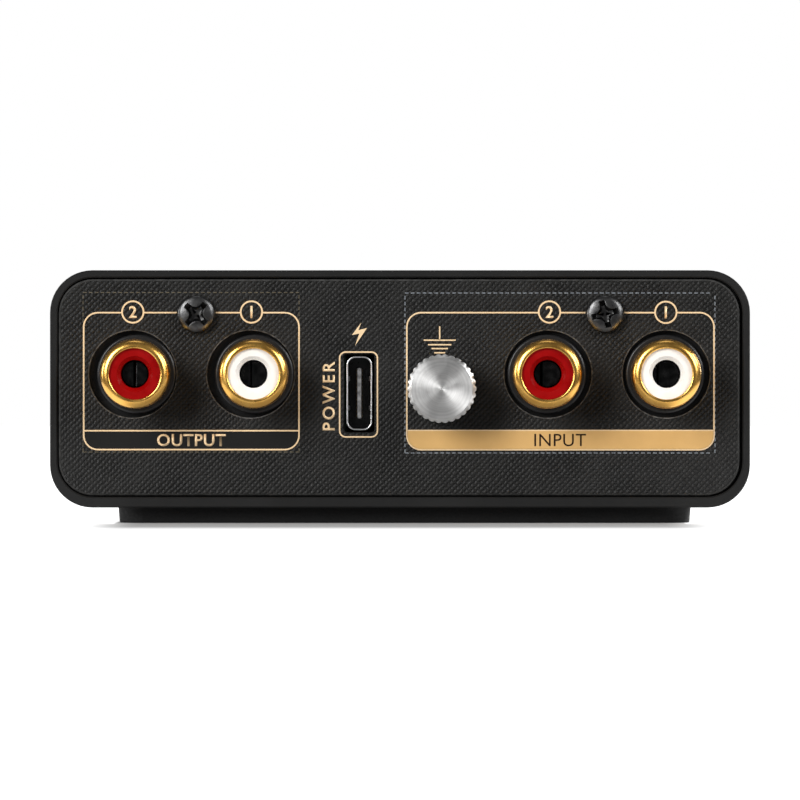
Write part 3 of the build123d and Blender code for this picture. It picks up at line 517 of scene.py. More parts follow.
bar_left = 0.73 * MM
bar_right = 37.83 * MM
bar_bottom = 8.76 * MM
bar_top = 11.24 * MM
bar_inset = 0.8 * frame_line
print_frame("phono_in", bar_left, bar_right, bar_bottom)
phono_in_bar = add_span(
    "phono_in_bar", bar_left + bar_inset, bar_right - bar_inset, bar_bottom + bar_inset, bar_top - bar_inset
)
round_foot(phono_in_bar, bar_bottom, frame_corner - bar_inset)
finish_print(phono_in_bar, gold_ink)
phono_in_divider = add_span(
    "phono_in_divider", bar_left + bar_inset, bar_right - bar_inset, bar_top - bar_inset, bar_top
)
finish_print(phono_in_divider)


# Lettering: plain words and channel numbers, cut in the same screen as the frames, in the same inks.
# Each number stands in a ring over its jack.
def set_words(
    name,
    words,
    height,
    x,
    z,
    y=rear_face,
    ink=pale_ink,
    weight=0.018,
    turn=0.0,
    spacing=1.06,
    back=False,
):
    """Prints a word, its capitals a height tall, its middle at x, z; turn is anticlockwise as read."""
    bpy.ops.object.text_add()
    lettering = bpy.context.object
    lettering.data.body = words
    lettering.data.offset = weight
    lettering.data.resolution_u = 4
    lettering.data.space_character = spacing
    bpy.ops.object.convert(target="MESH")
    corners = [Vector(corner) for corner in lettering.bound_box]
    low = Vector([min(corner[i] for corner in corners) for i in range(3)])
    high = Vector([max(corner[i] for corner in corners) for i in range(3)])
    stretch = height / (high.y - low.y)
    face = Matrix.Rotation(math.pi / 2, 4, "X")
    if back:
        face = Matrix.Rotation(math.pi, 4, "Z") @ face
    lettering.matrix_world = (
        Matrix.Translation((x, y, z))
        @ face
        @ Matrix.Rotation(turn, 4, "Z")
        @ Matrix.Diagonal((stretch, stretch, 1, 1))
        @ Matrix.Translation(-(low + high) / 2)
    )
    open_mesh(name)
    bpy.ops.mesh.remove_doubles(threshold=0.0001 * MM)
    bpy.ops.mesh.dissolve_limited(angle_limit=0.001)
    finish_print(lettering, ink)


def add_disc(name, radius, x, z, y=rear_face, sides=56):
    """A round plate at y that faces -Y, left open with every face selected."""
    bpy.ops.mesh.primitive_circle_add(
        vertices=sides, radius=radius, fill_type="NGON", location=(x, y, z), rotation=(math.pi / 2, 0, 0)
    )
    return open_mesh(name)


ring_radius = 1.39 * MM
ring_line = 0.2 * MM
number_height = 1.45 * MM
number_weight = 0.02
for jack_name, (ring_x, ring_z) in ring_places.items():
    number = "2" if jack_name.endswith("right") else "1"
    set_words(f"{jack_name}_number", number, number_height, ring_x, ring_z, weight=number_weight)
    ring = add_disc(f"{jack_name}_ring", ring_radius, ring_x, ring_z)
    cut_ring(ring_line)
    finish_print(ring)

title_height = 1.49 * MM
title_z = 10.0 * MM
output_x = -25.07 * MM
input_x = 19.25 * MM
set_words("line_out_title", "OUTPUT", title_height, output_x, title_z)
set_words(
    "phono_in_title",
    "INPUT",
    title_height,
    input_x,
    title_z,
    y=rear_face - ink_thickness,
    ink=brown_ink,
    weight=0.0,
)

# Socket print: a frame round the power socket with its title up the left side, a bolt over it, and the earth
# sign over the ground screw, all in the pale gold ink.
power_height = 1.5 * MM
power_x = -8.57 * MM
power_z = 15.31 * MM
set_words("socket_title", "POWER", power_height, power_x, power_z, turn=math.pi / 2, spacing=1.3)
socket_frame_line = 0.17 * MM
socket_frame = add_span(
    "socket_frame", -7.34 * MM, -2.63 * MM, 10.3 * MM, 20.67 * MM, corner=0.8 * MM, steps=6
)
cut_ring(socket_frame_line)
finish_print(socket_frame)

bolt_corners = [(-4.66, 24.13), (-5.0, 23.22), (-3.97, 23.47), (-5.4, 21.35), (-4.9, 22.8), (-5.78, 22.63)]
bolt = add_plate("power_bolt", 0, 0, 1 * MM, 1 * MM)
bolt_mesh = bmesh.from_edit_mesh(bolt.data)
bmesh.ops.delete(bolt_mesh, geom=list(bolt_mesh.verts), context="VERTS")
bolt_mesh.faces.new([bolt_mesh.verts.new((x * MM, rear_face, z * MM)) for x, z in reversed(bolt_corners)])
bmesh.update_edit_mesh(bolt.data)
finish_print(bolt)

earth_x = 4.77 * MM
earth_line = 0.16 * MM
stem_bottom = 21.99 * MM
stem_top = 23.68 * MM
earth_stem = add_span(
    "earth_bar_1", earth_x - earth_line / 2, earth_x + earth_line / 2, stem_bottom, stem_top
)
finish_print(earth_stem)
earth_bars = [(3.84 * MM, 22.01 * MM), (2.8 * MM, 21.47 * MM), (1.97 * MM, 21.0 * MM), (1.32 * MM, 20.5 * MM)]
for bar_number, (bar_width, bar_z) in enumerate(earth_bars, 2):
    earth_bar = add_plate(f"earth_bar_{bar_number}", earth_x, bar_z, bar_width, earth_line)
    finish_print(earth_bar)

# Broken outlines: a fine dashed line printed round each group of jacks, in thin ink.
# It is dull by the outputs and paler by the inputs.
dash_length = 0.43 * MM
dash_pitch = 0.71 * MM
dash_line = 0.1 * MM
dull_ink = new_finish("dull_ink", 0.5, specular=0.3)
tint(dull_ink, add_grain(dull_ink, 0.3 * MM), (0.07, 0.058, 0.035), (0.12, 0.1, 0.065))
silver_ink = new_finish("silver_ink", 0.5, specular=0.3)
tint(silver_ink, add_grain(silver_ink, 0.3 * MM), (0.15, 0.165, 0.19), (0.27, 0.295, 0.32))


def pick(piece, *others):
    """Selects pieces alone, the first of them active."""
    bpy.ops.object.select_all(action="DESELECT")
    for each in (piece, *others):
        each.select_set(True)
    bpy.context.view_layer.objects.active = piece


def add_dashes(name, left, right, bottom, top, ink):
    """Dashed lines along the four sides of a rectangle, as one piece."""
    runs = [(left, bottom, 1, 0, right - left), (left, top, 1, 0, right - left)]
    runs += [(left, bottom, 0, 1, top - bottom), (right, bottom, 0, 1, top - bottom)]
    sides = []
    for x, z, across, up, run in runs:
        dash = add_plate(
            name,
            x + across * dash_length / 2,
            z + up * dash_length / 2,
            dash_length if across else dash_line,
            dash_length if up else dash_line,
        )
        bpy.ops.object.mode_set(mode="OBJECT")
        repeat = dash.modifiers.new("repeat", "ARRAY")
        repeat.use_relative_offset = False
        repeat.use_constant_offset = True
        repeat.constant_offset_displace = (across * dash_pitch, 0, up * dash_pitch)
        repeat.count = round(run / dash_pitch)
        bpy.ops.object.modifier_apply(modifier=repeat.name)
        sides.append(dash)
    pick(*sides)
    bpy.ops.object.join()
    finish_print(sides[0], ink, thickness=ink_thickness / 2)


add_dashes("line_out_dashes", -38.1 * MM, -12.14 * MM, 8.57 * MM, 27.74 * MM, dull_ink)
add_dashes("phono_in_dashes", 0.6 * MM, 37.86 * MM, 8.45 * MM, 27.68 * MM, silver_ink)


# Hole rims: a thin ring over the broken corner of the sheet round each jack hole, painted paler than the coat
# as a painted highlight.
def cloudy_finish(name, roughness, size, low_colour, high_colour, smooth, rough, metallic=0.0, specular=0.5):
    """A finish whose colour and roughness drift together, in clouds of a size in metres."""
    finish = new_finish(name, roughness, metallic, specular)
    cloud = add_grain(finish, size)
    tint(finish, cloud, low_colour, high_colour)
    vary_roughness(finish, cloud, smooth, rough)
    return finish


def keep_edge(plate, width, step, finish):
    """Leaves only the border of an open plate, with its inner edge moved a step along Y."""
    bpy.ops.mesh.inset(thickness=width)
    bpy.ops.transform.translate(value=(0, step, 0))
    bpy.ops.mesh.delete(type="FACE")
    finish_print(plate, finish, rim_lift / 2)


# Painted highlight: the rim's pale grey stands for light caught on each hole's broken edge.
painted_rim_highlight = cloudy_finish(
    "painted_rim_highlight", 0.5, 0.5 * MM, (0.05, 0.05, 0.05), (0.17, 0.17, 0.168), 0.45, 0.6, metallic=0.1
)
jack_height = 17.93 * MM
hole_radius = 5.25 * MM
hole_break = 0.12 * MM
rim_lift = 0.012 * MM
hole_xs = {
    "line_out_right": -32.13 * MM,
    "line_out_left": -17.96 * MM,
    "phono_in_right": 17.78 * MM,
    "phono_in_left": 31.99 * MM,
}
for jack_name, hole_x in hole_xs.items():
    hole_rim = add_disc(
        f"{jack_name}_hole_rim", hole_radius + hole_break, hole_x, jack_height, rear_face - rim_lift, 72
    )
    keep_edge(hole_rim, hole_break, hole_break, painted_rim_highlight)

# Panel edge: the connector panel is punched from sheet and its edge broken before it is coated. A thin ring
# over that edge, all the way round, is painted paler than the coat as a painted highlight.
painted_edge_highlight = cloudy_finish(
    "painted_edge_highlight", 0.45, 0.8 * MM, (0.03, 0.03, 0.029), (0.055, 0.054, 0.052), 0.4, 0.55, specular=0.4
)
panel_low, panel_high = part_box("rear_panel")
panel_break = 0.2 * MM
panel_corner = 4.1 * MM
panel_edge = add_span(
    "panel_edge",
    panel_low[0],
    panel_high[0],
    panel_low[2],
    panel_high[2],
    rear_face + panel_break - rim_lift,
    panel_corner,
    12,
)
keep_edge(panel_edge, panel_break, -panel_break, painted_edge_highlight)

# Jack blocks: one glossy black moulding for each pair of jacks, soldered to the board.
# Their collars pass through the panel round the barrels.
moulding = new_finish("black_moulding", 0.3, specular=0.36)
moulding_grain = add_grain(moulding, 0.2 * MM)
tint(moulding, add_grain(moulding, 3 * MM), (0.009, 0.009, 0.0094), (0.013, 0.013, 0.0134))
vary_roughness(moulding, moulding_grain, 0.26, 0.38)
emboss(moulding, moulding_grain, 0.002 * MM)
dress(moulding, "line_out_jack_block", "phono_in_jack_block")

# Jack barrels: turned brass, gold plated and lacquered, the front rolled in over the insert in a long curve.
# Fine turning rings show in the gloss. The solder lug stands on the back end.
jack_xs = {
    "line_out_right": -31.68 * MM,
    "line_out_left": -17.51 * MM,
    "phono_in_right": 17.63 * MM,
    "phono_in_left": 31.84 * MM,
}
gold = cloudy_finish(
    "gold_plating", 0.24, 2.2 * MM, (0.82, 0.43, 0.075), (0.93, 0.53, 0.115), 0.22, 0.3, metallic=1.0
)
emboss(gold, add_grain(gold, 0.12 * MM, stretch=(12, 1, 12)), 0.002 * MM)
gold_shader = gold.node_tree.nodes["Principled BSDF"]
gold_shader.inputs["Coat Weight"].default_value = 0.7
gold_shader.inputs["Coat Roughness"].default_value = 0.2


def pull_out(distance):
    """Extrudes the selected faces towards -Y."""
    bpy.ops.mesh.extrude_region_move(TRANSFORM_OT_translate={"value": (0, -distance, 0)})


def close_skin():
    """Turns every face of an open piece outwards and closes the piece."""
    bpy.ops.mesh.select_all(action="SELECT")
    bpy.ops.mesh.normals_make_consistent(inside=False)
    bpy.ops.object.mode_set(mode="OBJECT")


def turn_piece(name, rings, x, z, face_y, sides):
    """A solid turned about a line along Y; rings, back to front, are radius and reach past face_y in mm."""
    radius, out = rings[0]
    piece = add_disc(name, radius * MM, x, z, face_y - out * MM, sides)
    for next_radius, next_out in rings[1:]:
        pull_out((next_out - out) * MM)
        grow = next_radius / radius
        bpy.ops.transform.resize(value=(grow, 1, grow), center_override=(x, face_y - next_out * MM, z))
        radius, out = next_radius, next_out
    close_skin()
    return piece


def finish_piece(piece, finish, slot_name, body, *replaced):
    """Smooths a piece, gives it its finish and sets it on a body."""
    pick(piece)
    bpy.ops.object.shade_smooth_by_angle(angle=math.radians(35))
    piece.data.materials.clear()
    piece.data.materials.append(finish)
    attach(piece, body)
    if replaced:
        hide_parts(*replaced)
    piece.select_set(False)


barrel_bore = 3.15
barrel_radius = 4.15
barrel_reach = 8.0
barrel_sides = 96
neck_radius = 3.85
neck_reach = 0.2
lip_crest = 3.22
lip_depth = 0.9
lip_mouth = 3.04
lip_inner = lip_crest - lip_mouth
lip_reach = 7.62
lip_slope = 0.04
lip_steps = 9
inner_steps = 3
lip_rings = []
for step in range(lip_steps + 1):
    lean = math.pi / 2 * step / lip_steps
    lip_radius = lip_crest + (barrel_radius - lip_crest) * math.cos(lean)
    lip_rings.append((lip_radius, barrel_reach - lip_depth + lip_depth * math.sin(lean)))
for step in range(1, inner_steps + 1):
    lean = math.pi / 2 * step / inner_steps
    lip_radius = lip_crest - lip_inner * math.sin(lean)
    lip_rings.append((lip_radius, barrel_reach - lip_inner * (1 - math.cos(lean))))
lip_rings += [(lip_mouth, lip_reach), (barrel_bore, lip_reach - lip_slope)]
lug_width = 2.0 * MM
lug_thickness = 0.5 * MM
lug_top = jack_height - 3.45 * MM
for jack_name, jack_x in jack_xs.items():
    shell_low, shell_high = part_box(f"{jack_name}_shell")
    barrel_back = (rear_face - shell_high[1]) / MM
    neck_rings = [(barrel_bore, barrel_back), (neck_radius, barrel_back)]
    neck_rings += [(neck_radius, neck_reach), (barrel_radius, neck_reach)]
    barrel_rings = neck_rings + lip_rings + [(barrel_bore, barrel_back)]
    barrel = turn_piece(f"{jack_name}_barrel", barrel_rings, jack_x, jack_height, rear_face, barrel_sides)
    bpy.ops.object.mode_set(mode="EDIT")
    choose(barrel, "faces", lambda face: len(face.verts) > 4)
    bpy.ops.mesh.delete(type="FACE")
    bpy.ops.mesh.select_all(action="SELECT")
    bpy.ops.mesh.remove_doubles(threshold=0.001 * MM)
    close_skin()
    lug = add_span(
        "lug", jack_x - lug_width / 2, jack_x + lug_width / 2, shell_low[2], lug_top, shell_high[1]
    )
    pull_out(lug_thickness)
    close_skin()
    pick(barrel, lug)
    bpy.ops.object.join()
    finish_piece(barrel, gold, "gold_plating", "case", f"{jack_name}_shell")

# Jack inserts: moulded in one piece each, red for the right channel and white for the left.
# They are pressed in the barrels and carry the contacts.
red_insert = cloudy_finish(
    "red_insert", 0.3, 1.5 * MM, (0.25, 0.0006, 0.0008), (0.3, 0.001, 0.0012), 0.26, 0.38, specular=0.12
)
emboss(red_insert, add_grain(red_insert, 0.15 * MM), 0.002 * MM)
dress(red_insert, "line_out_right_insulator", "phono_in_right_insulator")
white_insert = cloudy_finish(
    "white_insert", 0.32, 1.5 * MM, (0.87, 0.83, 0.77), (0.92, 0.89, 0.84), 0.28, 0.4
)
emboss(white_insert, add_grain(white_insert, 0.15 * MM), 0.002 * MM)
dress(white_insert, "line_out_left_insulator", "phono_in_left_insulator")

# Panel screws: self-tapping, domed, black nickel plated. They hold the jack blocks to the panel.
# The cross recess has four wings that run out near the rim.
black_nickel = new_finish("black_nickel", 0.3, metallic=1.0)
nickel_grain = add_grain(black_nickel, 0.1 * MM)
tint(black_nickel, add_grain(black_nickel, 0.7 * MM), (0.075, 0.075, 0.077), (0.13, 0.13, 0.129))
vary_roughness(black_nickel, nickel_grain, 0.27, 0.38)
emboss(black_nickel, nickel_grain, 0.004 * MM)
screw_sides = 72
screw_rings = [(0.2, -9.7), (0.6, -9.6), (1.26, -8.6), (1.26, -0.4)]
screw_rings += [(1.3, 0), (2.12, 0), (2.22, 0.08), (2.24, 0.3), (2.24, 0.85), (2.2, 1.0), (2.1, 1.13)]
screw_rings += [(1.95, 1.22), (1.7, 1.3), (1.3, 1.37), (0.9, 1.42), (0.45, 1.455), (0.05, 1.47)]
screw_blank = turn_piece("screw_blank", screw_rings, 0, 0, 0, screw_sides)
wing_span = 3.76 * MM
wing_width = 0.8 * MM
wing_floor = -0.5 * MM
wing_top = 2.0 * MM
wing_draft = 0.55
lobe_round = 0.9 * MM


def add_block(name, place, size, turn=0.0):
    """A block about its middle, turned about Y; left open with every face selected."""
    bpy.ops.mesh.primitive_cube_add(size=1.0, location=place, rotation=(0, turn, 0))
    bpy.context.object.scale = size
    return open_mesh(name)


def combine(piece, tool, operation):
    """A boolean on a piece, applied; the tool is thrown away."""
    pick(piece)
    step = piece.modifiers.new("combine", "BOOLEAN")
    step.operation = operation
    step.solver = "EXACT"
    step.object = tool
    bpy.ops.object.modifier_apply(modifier=step.name)
    bpy.data.objects.remove(tool)


def soften(piece, width, steps, angle):
    """Rounds the edges that are sharper than an angle in degrees."""
    pick(piece)
    soft = piece.modifiers.new("soft_edges", "BEVEL")
    soft.width = width
    soft.segments = steps
    soft.limit_method = "ANGLE"
    soft.angle_limit = math.radians(angle)
    bpy.ops.object.modifier_apply(modifier=soft.name)


def is_lobe_edge(edge):
    """The four upright edges where the wings meet."""
    at = middle(edge)
    span = edge.verts[0].co - edge.verts[1].co
    return abs(span.y) > 1 * MM and math.hypot(at.x, at.z) < wing_width


wing_place = (0, -(wing_floor + wing_top) / 2, 0)
wing_size = (wing_span, wing_top - wing_floor, wing_width)
wings = []
for wing_turn in (0, math.pi / 2):
    wings.append(add_block("wing", wing_place, wing_size, wing_turn))
    bpy.ops.object.mode_set(mode="OBJECT")
cross, other_wing = wings
combine(cross, other_wing, "UNION")
bpy.ops.object.mode_set(mode="EDIT")
choose(cross, "edges", is_lobe_edge)
bpy.ops.mesh.bevel(offset=lobe_round, segments=5, affect="EDGES")
choose(cross, "faces", lambda face: face.normal.y > 0.9)
bpy.ops.transform.resize(value=(wing_draft, 1, wing_draft), center_override=(0, -wing_floor, 0))
bpy.ops.object.mode_set(mode="OBJECT")
combine(screw_blank, cross, "DIFFERENCE")
soften(screw_blank, 0.05 * MM, 2, 40)
screw_height = 25.15 * MM
screw_turns = {"line_out": 42, "phono_in": -15}
for group, screw_turn in screw_turns.items():
    screw = bpy.data.objects.new(f"{group}_screw_cross", screw_blank.data.copy())
    bpy.context.scene.collection.objects.link(screw)
    screw_place = Matrix.Translation((screw_xs[group], rear_face, screw_height))
    screw.data.transform(screw_place @ Matrix.Rotation(math.radians(screw_turn), 4, "Y"))
    finish_piece(screw, black_nickel, "screw_black", "case", f"{group}_screw")
bpy.data.objects.remove(screw_blank)

# Jack contacts: each a pair of tinned phosphor-bronze leaves, the gap a little to one side; their tin is
# painted near black as painted shade deep in the bore.
# The right leaf's edge is rolled back, so that a plug's pin finds its way in.
bore_shaded_tin = cloudy_finish(
    "tin_painted_dark_in_bore", 0.35, 0.8 * MM, (0.022, 0.022, 0.0225), (0.045, 0.045, 0.045), 0.2, 0.28, metallic=1.0
)
contact_radius = 1.5 * MM
contact_front = rear_face - 5.6 * MM
contact_length = 6.0 * MM
contact_gap = 0.24 * MM
left_roll = 0.1 * MM
right_roll = 0.24 * MM
gap_shifts = {
    "line_out_right": -0.12 * MM,
    "line_out_left": -0.3 * MM,
    "phono_in_right": -0.72 * MM,
    "phono_in_left": -0.98 * MM,
}


def add_leaf(name, x, gap_edge, side, roll):
    """One leaf of a contact: a round bar's part on one side of the gap, its front edge rolled back."""
    leaf = add_disc(name, contact_radius, x, jack_height, contact_front + contact_length, 48)
    bpy.ops.mesh.bisect(plane_co=(gap_edge, 0, 0), plane_no=(side, 0, 0), clear_inner=True)
    bpy.ops.mesh.select_all(action="SELECT")
    pull_out(contact_length)
    close_skin()

    def is_front_edge(edge):
        at = middle(edge)
        return abs(at.x - gap_edge) < 0.01 * MM and abs(at.y - contact_front) < 0.01 * MM

    bpy.ops.object.mode_set(mode="EDIT")
    choose(leaf, "edges", is_front_edge)
    bpy.ops.mesh.bevel(offset=roll, segments=3, affect="EDGES")
    bpy.ops.object.mode_set(mode="OBJECT")
    return leaf


for jack_name, jack_x in jack_xs.items():
    gap_middle = jack_x + gap_shifts[jack_name]
    leaves = add_leaf(f"{jack_name}_leaves", jack_x, gap_middle - contact_gap / 2, -1, left_roll)
    right_leaf = add_leaf("right_leaf", jack_x, gap_middle + contact_gap / 2, 1, right_roll)
    pick(leaves, right_leaf)
    bpy.ops.object.join()
    finish_piece(leaves, bore_shaded_tin, "plain_steel", "case", f"{jack_name}_contact")

# Ground screw: turned and knurled steel, bright; its face and bevels keep the lathe's rings.
# Its shank runs in the tapped bush, and the washer sits behind its neck.
ground_x = 5.0 * MM
ground_z = 16.18 * MM
bright_steel = new_finish("bright_steel", 0.32, metallic=1.0)


def add_turning(finish, x, z, pitch, depth, tangent_share):
    """Rings about a line along Y through x, z, and gloss drawn out across them."""
    tree = finish.node_tree
    shader = tree.nodes["Principled BSDF"]
    place = tree.nodes.new("ShaderNodeTexCoord")
    centred = tree.nodes.new("ShaderNodeMapping")
    centred.inputs["Location"].default_value = (-x, 0, -z)
    flat = tree.nodes.new("ShaderNodeVectorMath")
    flat.operation = "MULTIPLY"
    flat.inputs[1].default_value = (1, 0, 1)
    radius = tree.nodes.new("ShaderNodeVectorMath")
    radius.operation = "LENGTH"
    rings = tree.nodes.new("ShaderNodeTexNoise")
    rings.noise_dimensions = "1D"
    rings.inputs["Scale"].default_value = 1 / pitch
    rings.inputs["Detail"].default_value = 2.0
    lie = tree.nodes.new("ShaderNodeTangent")
    lie.direction_type = "RADIAL"
    lie.axis = "Y"
    tree.links.new(place.outputs["Object"], centred.inputs["Vector"])
    tree.links.new(centred.outputs["Vector"], flat.inputs[0])
    tree.links.new(flat.outputs["Vector"], radius.inputs[0])
    tree.links.new(radius.outputs["Value"], rings.inputs["W"])
    tree.links.new(lie.outputs["Tangent"], shader.inputs["Tangent"])
    shader.inputs["Anisotropic"].default_value = tangent_share
    shader.inputs["Anisotropic Rotation"].default_value = 0.25
    emboss(finish, rings.outputs["Fac"], depth)
    return rings.outputs["Fac"]


steel_rings = add_turning(bright_steel, ground_x, ground_z, 0.22 * MM, 0.0008 * MM, 0.7)
tint(bright_steel, steel_rings, (0.74, 0.735, 0.725), (0.84, 0.835, 0.825))
vary_roughness(bright_steel, add_grain(bright_steel, 1.2 * MM), 0.34, 0.44)

shank_radius = 1.97
neck_start = 0.65
collar_radius = 3.3
head_start = neck_start + 1.0
head_end = head_start + 5.6
knurl_root = 3.95
knurl_tip = 4.12
knurl_bevel = 0.42
thumb_rings = [(0.9, -7.3), (1.3, -7.25), (shank_radius, -6.6), (shank_radius, neck_start)]
thumb_rings += [(collar_radius - 0.05, neck_start), (collar_radius, neck_start + 0.05)]
thumb_rings += [(collar_radius, head_start), (3.68, head_start), (knurl_tip, head_start + knurl_bevel)]
thumb_rings += [(knurl_tip, head_end - knurl_bevel), (3.92, head_end - 0.25), (3.7, head_end - 0.03)]
thumb_rings += [(3.66, head_end), (3.6, head_end), (0.24, head_end), (0.2, head_end)]
thumb_rings += [(0.17, head_end - 0.03), (0.04, head_end - 0.16)]
teeth = 30
points_per_tooth = 6
thumb = turn_piece("knurled_thumb", thumb_rings, ground_x, ground_z, rear_face, teeth * points_per_tooth)
for vert in thumb.data.vertices:
    across = vert.co.x - ground_x
    up = vert.co.z - ground_z
    reach = math.hypot(across, up) / MM
    if reach > knurl_tip - 0.01:
        crest = abs(math.cos(math.atan2(up, across) * teeth / 2)) ** 0.8
        wanted_reach = knurl_root + (knurl_tip - knurl_root) * crest
        vert.co.x = ground_x + across * wanted_reach / reach
        vert.co.z = ground_z + up * wanted_reach / reach
finish_piece(thumb, bright_steel, "turned_steel", "ground_thumb", "ground_screw")

# Plain steel: the stamped washer under the thumb screw, the nuts, solder tag and screws under the pad.
# They are zinc plated and a little dull.
plain_steel = cloudy_finish(
    "plain_steel", 0.35, 0.9 * MM, (0.4, 0.4, 0.4), (0.52, 0.515, 0.51), 0.28, 0.45, metallic=1.0
)
dress(plain_steel, "ground_washer", "ground_nut", "ground_tag", "base_screws", "volume_washer", "volume_nut")

# Bush, spacers and shaft: plain turned brass. The bush is clinched in the panel and tapped for the thumb
# screw, and the spacers carry the board.
brass = cloudy_finish(
    "plain_brass", 0.35, 1.0 * MM, (0.55, 0.4, 0.16), (0.68, 0.5, 0.22), 0.3, 0.45, metallic=1.0
)
dress(brass, "ground_bush", "board_standoffs", "volume_shaft")

# Power socket: a drawn steel shell with a rolled rim and latch springs pressed inwards. A moulded tongue
# stands in it with the contacts laid in its sides, before a black moulded back.
socket_steel = cloudy_finish(
    "socket_steel", 0.3, 0.8 * MM, (0.66, 0.66, 0.67), (0.76, 0.76, 0.76), 0.26, 0.34, metallic=1.0
)
socket_x = -4.89 * MM
socket_z = 15.63 * MM
socket_front = rear_face + 0.3 * MM
socket_width = 3.12 * MM
socket_tall = 8.94 * MM
socket_corner = 1.1 * MM
socket_length = 7.3 * MM
socket_wall = 0.21 * MM
socket_pocket = 5.75 * MM
socket_shell = add_plate(
    "socket_shell", socket_x, socket_z, socket_width, socket_tall, socket_front + socket_length, socket_corner
)
pull_out(socket_length)
bpy.ops.mesh.inset(thickness=socket_wall)
pull_out(-socket_pocket)
close_skin()
soften(socket_shell, 0.09 * MM, 3, 60)
finish_piece(socket_shell, socket_steel, "socket_steel", "case", "usb_shell")

spring_size = (0.3 * MM, 1.6 * MM, 0.75 * MM)
spring_out = socket_width / 2 - socket_wall - 0.08 * MM
spring_rise = 1.77 * MM
spring_y = socket_front + 1.6 * MM
press_y = socket_front + 1.7 * MM
for side, side_name in ((-1, "left"), (1, "right")):
    for rise, rise_name in ((-1, "lower"), (1, "upper")):
        spring_x = socket_x + side * spring_out
        spring_z = socket_z + rise * spring_rise
        spring_name = f"latch_spring_{side_name}_{rise_name}"
        spring = add_block(spring_name, (spring_x, spring_y, spring_z), spring_size)
        choose(spring, "faces", lambda face: face.normal.x * side < -0.9)
        bpy.ops.transform.resize(value=(1, 0.35, 0.7), center_override=(socket_x, press_y, spring_z))
        bpy.ops.mesh.select_all(action="SELECT")
        bpy.ops.mesh.bevel(offset=0.04 * MM, segments=2, affect="EDGES")
        bpy.ops.object.mode_set(mode="OBJECT")
        finish_piece(spring, socket_steel, "socket_steel", "case")

grey_moulding = cloudy_finish(
    "grey_moulding", 0.4, 0.5 * MM, (0.08, 0.08, 0.08), (0.24, 0.24, 0.24), 0.34, 0.5
)
tongue_front = socket_front + 0.8 * MM
tongue_length = 5.0 * MM
tongue_nose = 1.7 * MM
tongue_taper = 0.12 * MM
tongue_steps = [
    (tongue_length - tongue_nose, 1, 1),
    (tongue_taper, 0.78, 0.99),
    (tongue_nose - 2 * tongue_taper, 1, 1),
    (tongue_taper, 0.85, 0.98),
]
tongue = add_plate(
    "socket_tongue", socket_x, socket_z, 0.62 * MM, 6.15 * MM, tongue_front + tongue_length, 0.25 * MM, 4
)
for step, width_share, height_share in tongue_steps:
    pull_out(step)
    bpy.ops.transform.resize(
        value=(width_share, 1, height_share), center_override=(socket_x, tongue_front, socket_z)
    )
close_skin()
finish_piece(tongue, grey_moulding, "tongue_grey", "case", "usb_tongue")
socket_back = add_plate(
    "socket_back",
    socket_x,
    socket_z,
    socket_width - 2 * socket_wall,
    socket_tall - 2 * socket_wall,
    socket_front + socket_pocket,
    0.82 * MM,
)
pull_out(0.15 * MM)
bpy.ops.mesh.inset(thickness=0.35 * MM)
pull_out(-0.1 * MM)
close_skin()
finish_piece(socket_back, moulding, "moulded_black", "case")
# Painted shade: the contacts' gold is darkened far below the barrels' gold, for the depth of the socket.
gold_contact = cloudy_finish(
    "gold_contact", 0.28, 0.3 * MM, (0.1, 0.065, 0.025), (0.14, 0.09, 0.035), 0.22, 0.36, metallic=1.0
)
dress(gold_contact, "usb_contacts")

# Circuit boards: glass-epoxy sheet, routed to shape, with a green mask over the weave.
# The small one stands on the main board and carries the power socket.
board_green = new_finish("board_green", 0.3)
board_weave = add_grain(board_green, 0.6 * MM, stretch=(1, 3, 1))
tint(board_green, board_weave, (0.006, 0.07, 0.02), (0.01, 0.1, 0.035))
vary_roughness(board_green, board_weave, 0.25, 0.4)
emboss(board_green, board_weave, 0.01 * MM)
dress(board_green, "circuit_board", "usb_board")


# Volume knob and power button: turned from aluminium bar, blasted and clear anodised; their faces keep fine
# rings. The knob's grip is milled.
def anodise_clear(name, x, cloud_size):
    """Clear anodised aluminium, turned about the line of a control at x."""
    metal = new_finish(name, 0.3, metallic=1.0)
    rings = add_turning(metal, x, control_z, 0.3 * MM, 0.0015 * MM, 0.5)
    tint(metal, rings, (0.56, 0.56, 0.565), (0.66, 0.66, 0.66))
    vary_roughness(metal, add_grain(metal, cloud_size), 0.33, 0.36)
    return metal


control_z = 16.15 * MM
knob_x = -22.0 * MM
button_x = 27.0 * MM
dress(anodise_clear("knob_aluminium", knob_x, 2.5 * MM), "volume_knob")
dress(anodise_clear("button_aluminium", button_x, 1.5 * MM), "power_button")

# Knob pointer and grub screw: black enamel run into a milled slot in the knob's face, and a black oxide steel
# screw that holds the knob on its shaft.
enamel = cloudy_finish(
    "pointer_enamel", 0.25, 0.5 * MM, (0.01, 0.01, 0.011), (0.018, 0.018, 0.019), 0.2, 0.35
)
dress(enamel, "knob_pointer")
black_oxide = cloudy_finish(
    "black_oxide", 0.45, 0.5 * MM, (0.05, 0.05, 0.052), (0.08, 0.078, 0.076), 0.38, 0.55, metallic=1.0
)
dress(black_oxide, "knob_grub_screw")

# Print on the control panel: white ink, silk-screened. A scale stands round the knob, its ends numbered, and
# the power sign over the button.
front_face = 44.9 * MM
white_ink = cloudy_finish(
    "white_ink", 0.45, 0.1 * MM, (0.62, 0.62, 0.6), (0.7, 0.7, 0.68), 0.4, 0.55, specular=0.4
)


def turn_back(x, z):
    """Turns open print about an upright line, so that it faces +Y."""
    bpy.ops.transform.rotate(value=math.pi, orient_axis="Z", center_override=(x, front_face, z))


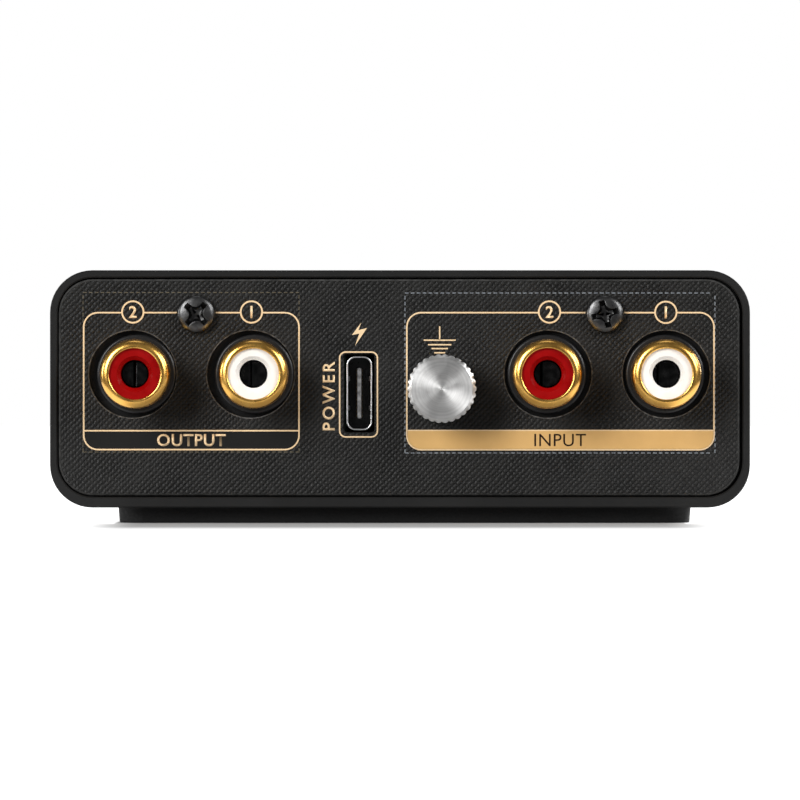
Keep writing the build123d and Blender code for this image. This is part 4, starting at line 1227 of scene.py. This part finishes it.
tick_radius = 11.15 * MM
tick_length = 0.8 * MM
tick_line = 0.22 * MM
tick_count = 11
volume_sweep = 300
for tick_number in range(tick_count):
    tick = add_plate(
        f"volume_tick_{tick_number}", knob_x, control_z + tick_radius, tick_line, tick_length, front_face
    )
    turn_back(knob_x, control_z)
    tick_turn = math.radians(volume_sweep * (tick_number / (tick_count - 1) - 0.5))
    bpy.ops.transform.rotate(
        value=tick_turn, orient_axis="Y", center_override=(knob_x, front_face, control_z)
    )
    finish_print(tick, white_ink)
end_height = 1.3 * MM
end_reach = 7.6 * MM
end_z = control_z - 11.0 * MM
for side, number in ((1, "0"), (-1, "10")):
    set_words(
        f"volume_number_{number}",
        number,
        end_height,
        knob_x + side * end_reach,
        end_z,
        y=front_face,
        ink=white_ink,
        weight=0.01,
        back=True,
    )

sign_z = 23.9 * MM
sign_radius = 1.25 * MM
sign_line = 0.24 * MM
sign_gap = 0.45 * MM
sign = add_disc("power_sign_ring", sign_radius, button_x, sign_z, front_face)
cut_ring(sign_line)
cut_gap(sign, button_x, sign_z + sign_radius, sign_gap)
bpy.ops.mesh.select_all(action="SELECT")
turn_back(button_x, sign_z)
finish_print(sign, white_ink)
sign_bar = add_plate("power_sign_bar", button_x, sign_z + 0.85 * MM, sign_line, 1.3 * MM, front_face)
turn_back(button_x, sign_z)
finish_print(sign_bar, white_ink)

# Power light and plunger: a milky moulded lens that stands in its black riser behind the panel, and the
# switch's nylon plunger, which carries the button.
lens = cloudy_finish("milky_lens", 0.25, 0.7 * MM, (0.72, 0.73, 0.74), (0.8, 0.81, 0.82), 0.2, 0.32)
dress(lens, "power_led")
nylon = cloudy_finish("white_nylon", 0.4, 0.8 * MM, (0.62, 0.61, 0.58), (0.7, 0.69, 0.66), 0.35, 0.5)
dress(nylon, "power_plunger")

# Parts inside the case: the switch, potentiometer, riser, chips and their sockets in black moulding,
# red film capacitors, cans in blue sleeves and blue resistors.
chip_black = new_finish("chip_moulding", 0.5)
chip_grain = add_grain(chip_black, 0.12 * MM)
tint(chip_black, chip_grain, (0.012, 0.012, 0.012), (0.022, 0.022, 0.022))
vary_roughness(chip_black, chip_grain, 0.42, 0.6)
emboss(chip_black, chip_grain, 0.01 * MM)
dress(chip_black, "power_switch_body", "volume_pot_body", "led_holder", "op_amp_sockets", "op_amps")
dress(chip_black, "power_converter", "power_inductor")
film_red = cloudy_finish("film_red", 0.3, 1.5 * MM, (0.35, 0.02, 0.015), (0.45, 0.03, 0.02), 0.25, 0.4)
dress(film_red, "film_capacitors")
can_sleeve = cloudy_finish("can_sleeve", 0.3, 1.5 * MM, (0.02, 0.03, 0.08), (0.03, 0.045, 0.11), 0.24, 0.4)
dress(can_sleeve, "electrolytic_capacitors")
resistor_blue = cloudy_finish(
    "resistor_blue", 0.4, 0.9 * MM, (0.08, 0.25, 0.38), (0.12, 0.33, 0.47), 0.32, 0.5
)
dress(resistor_blue, "resistors")
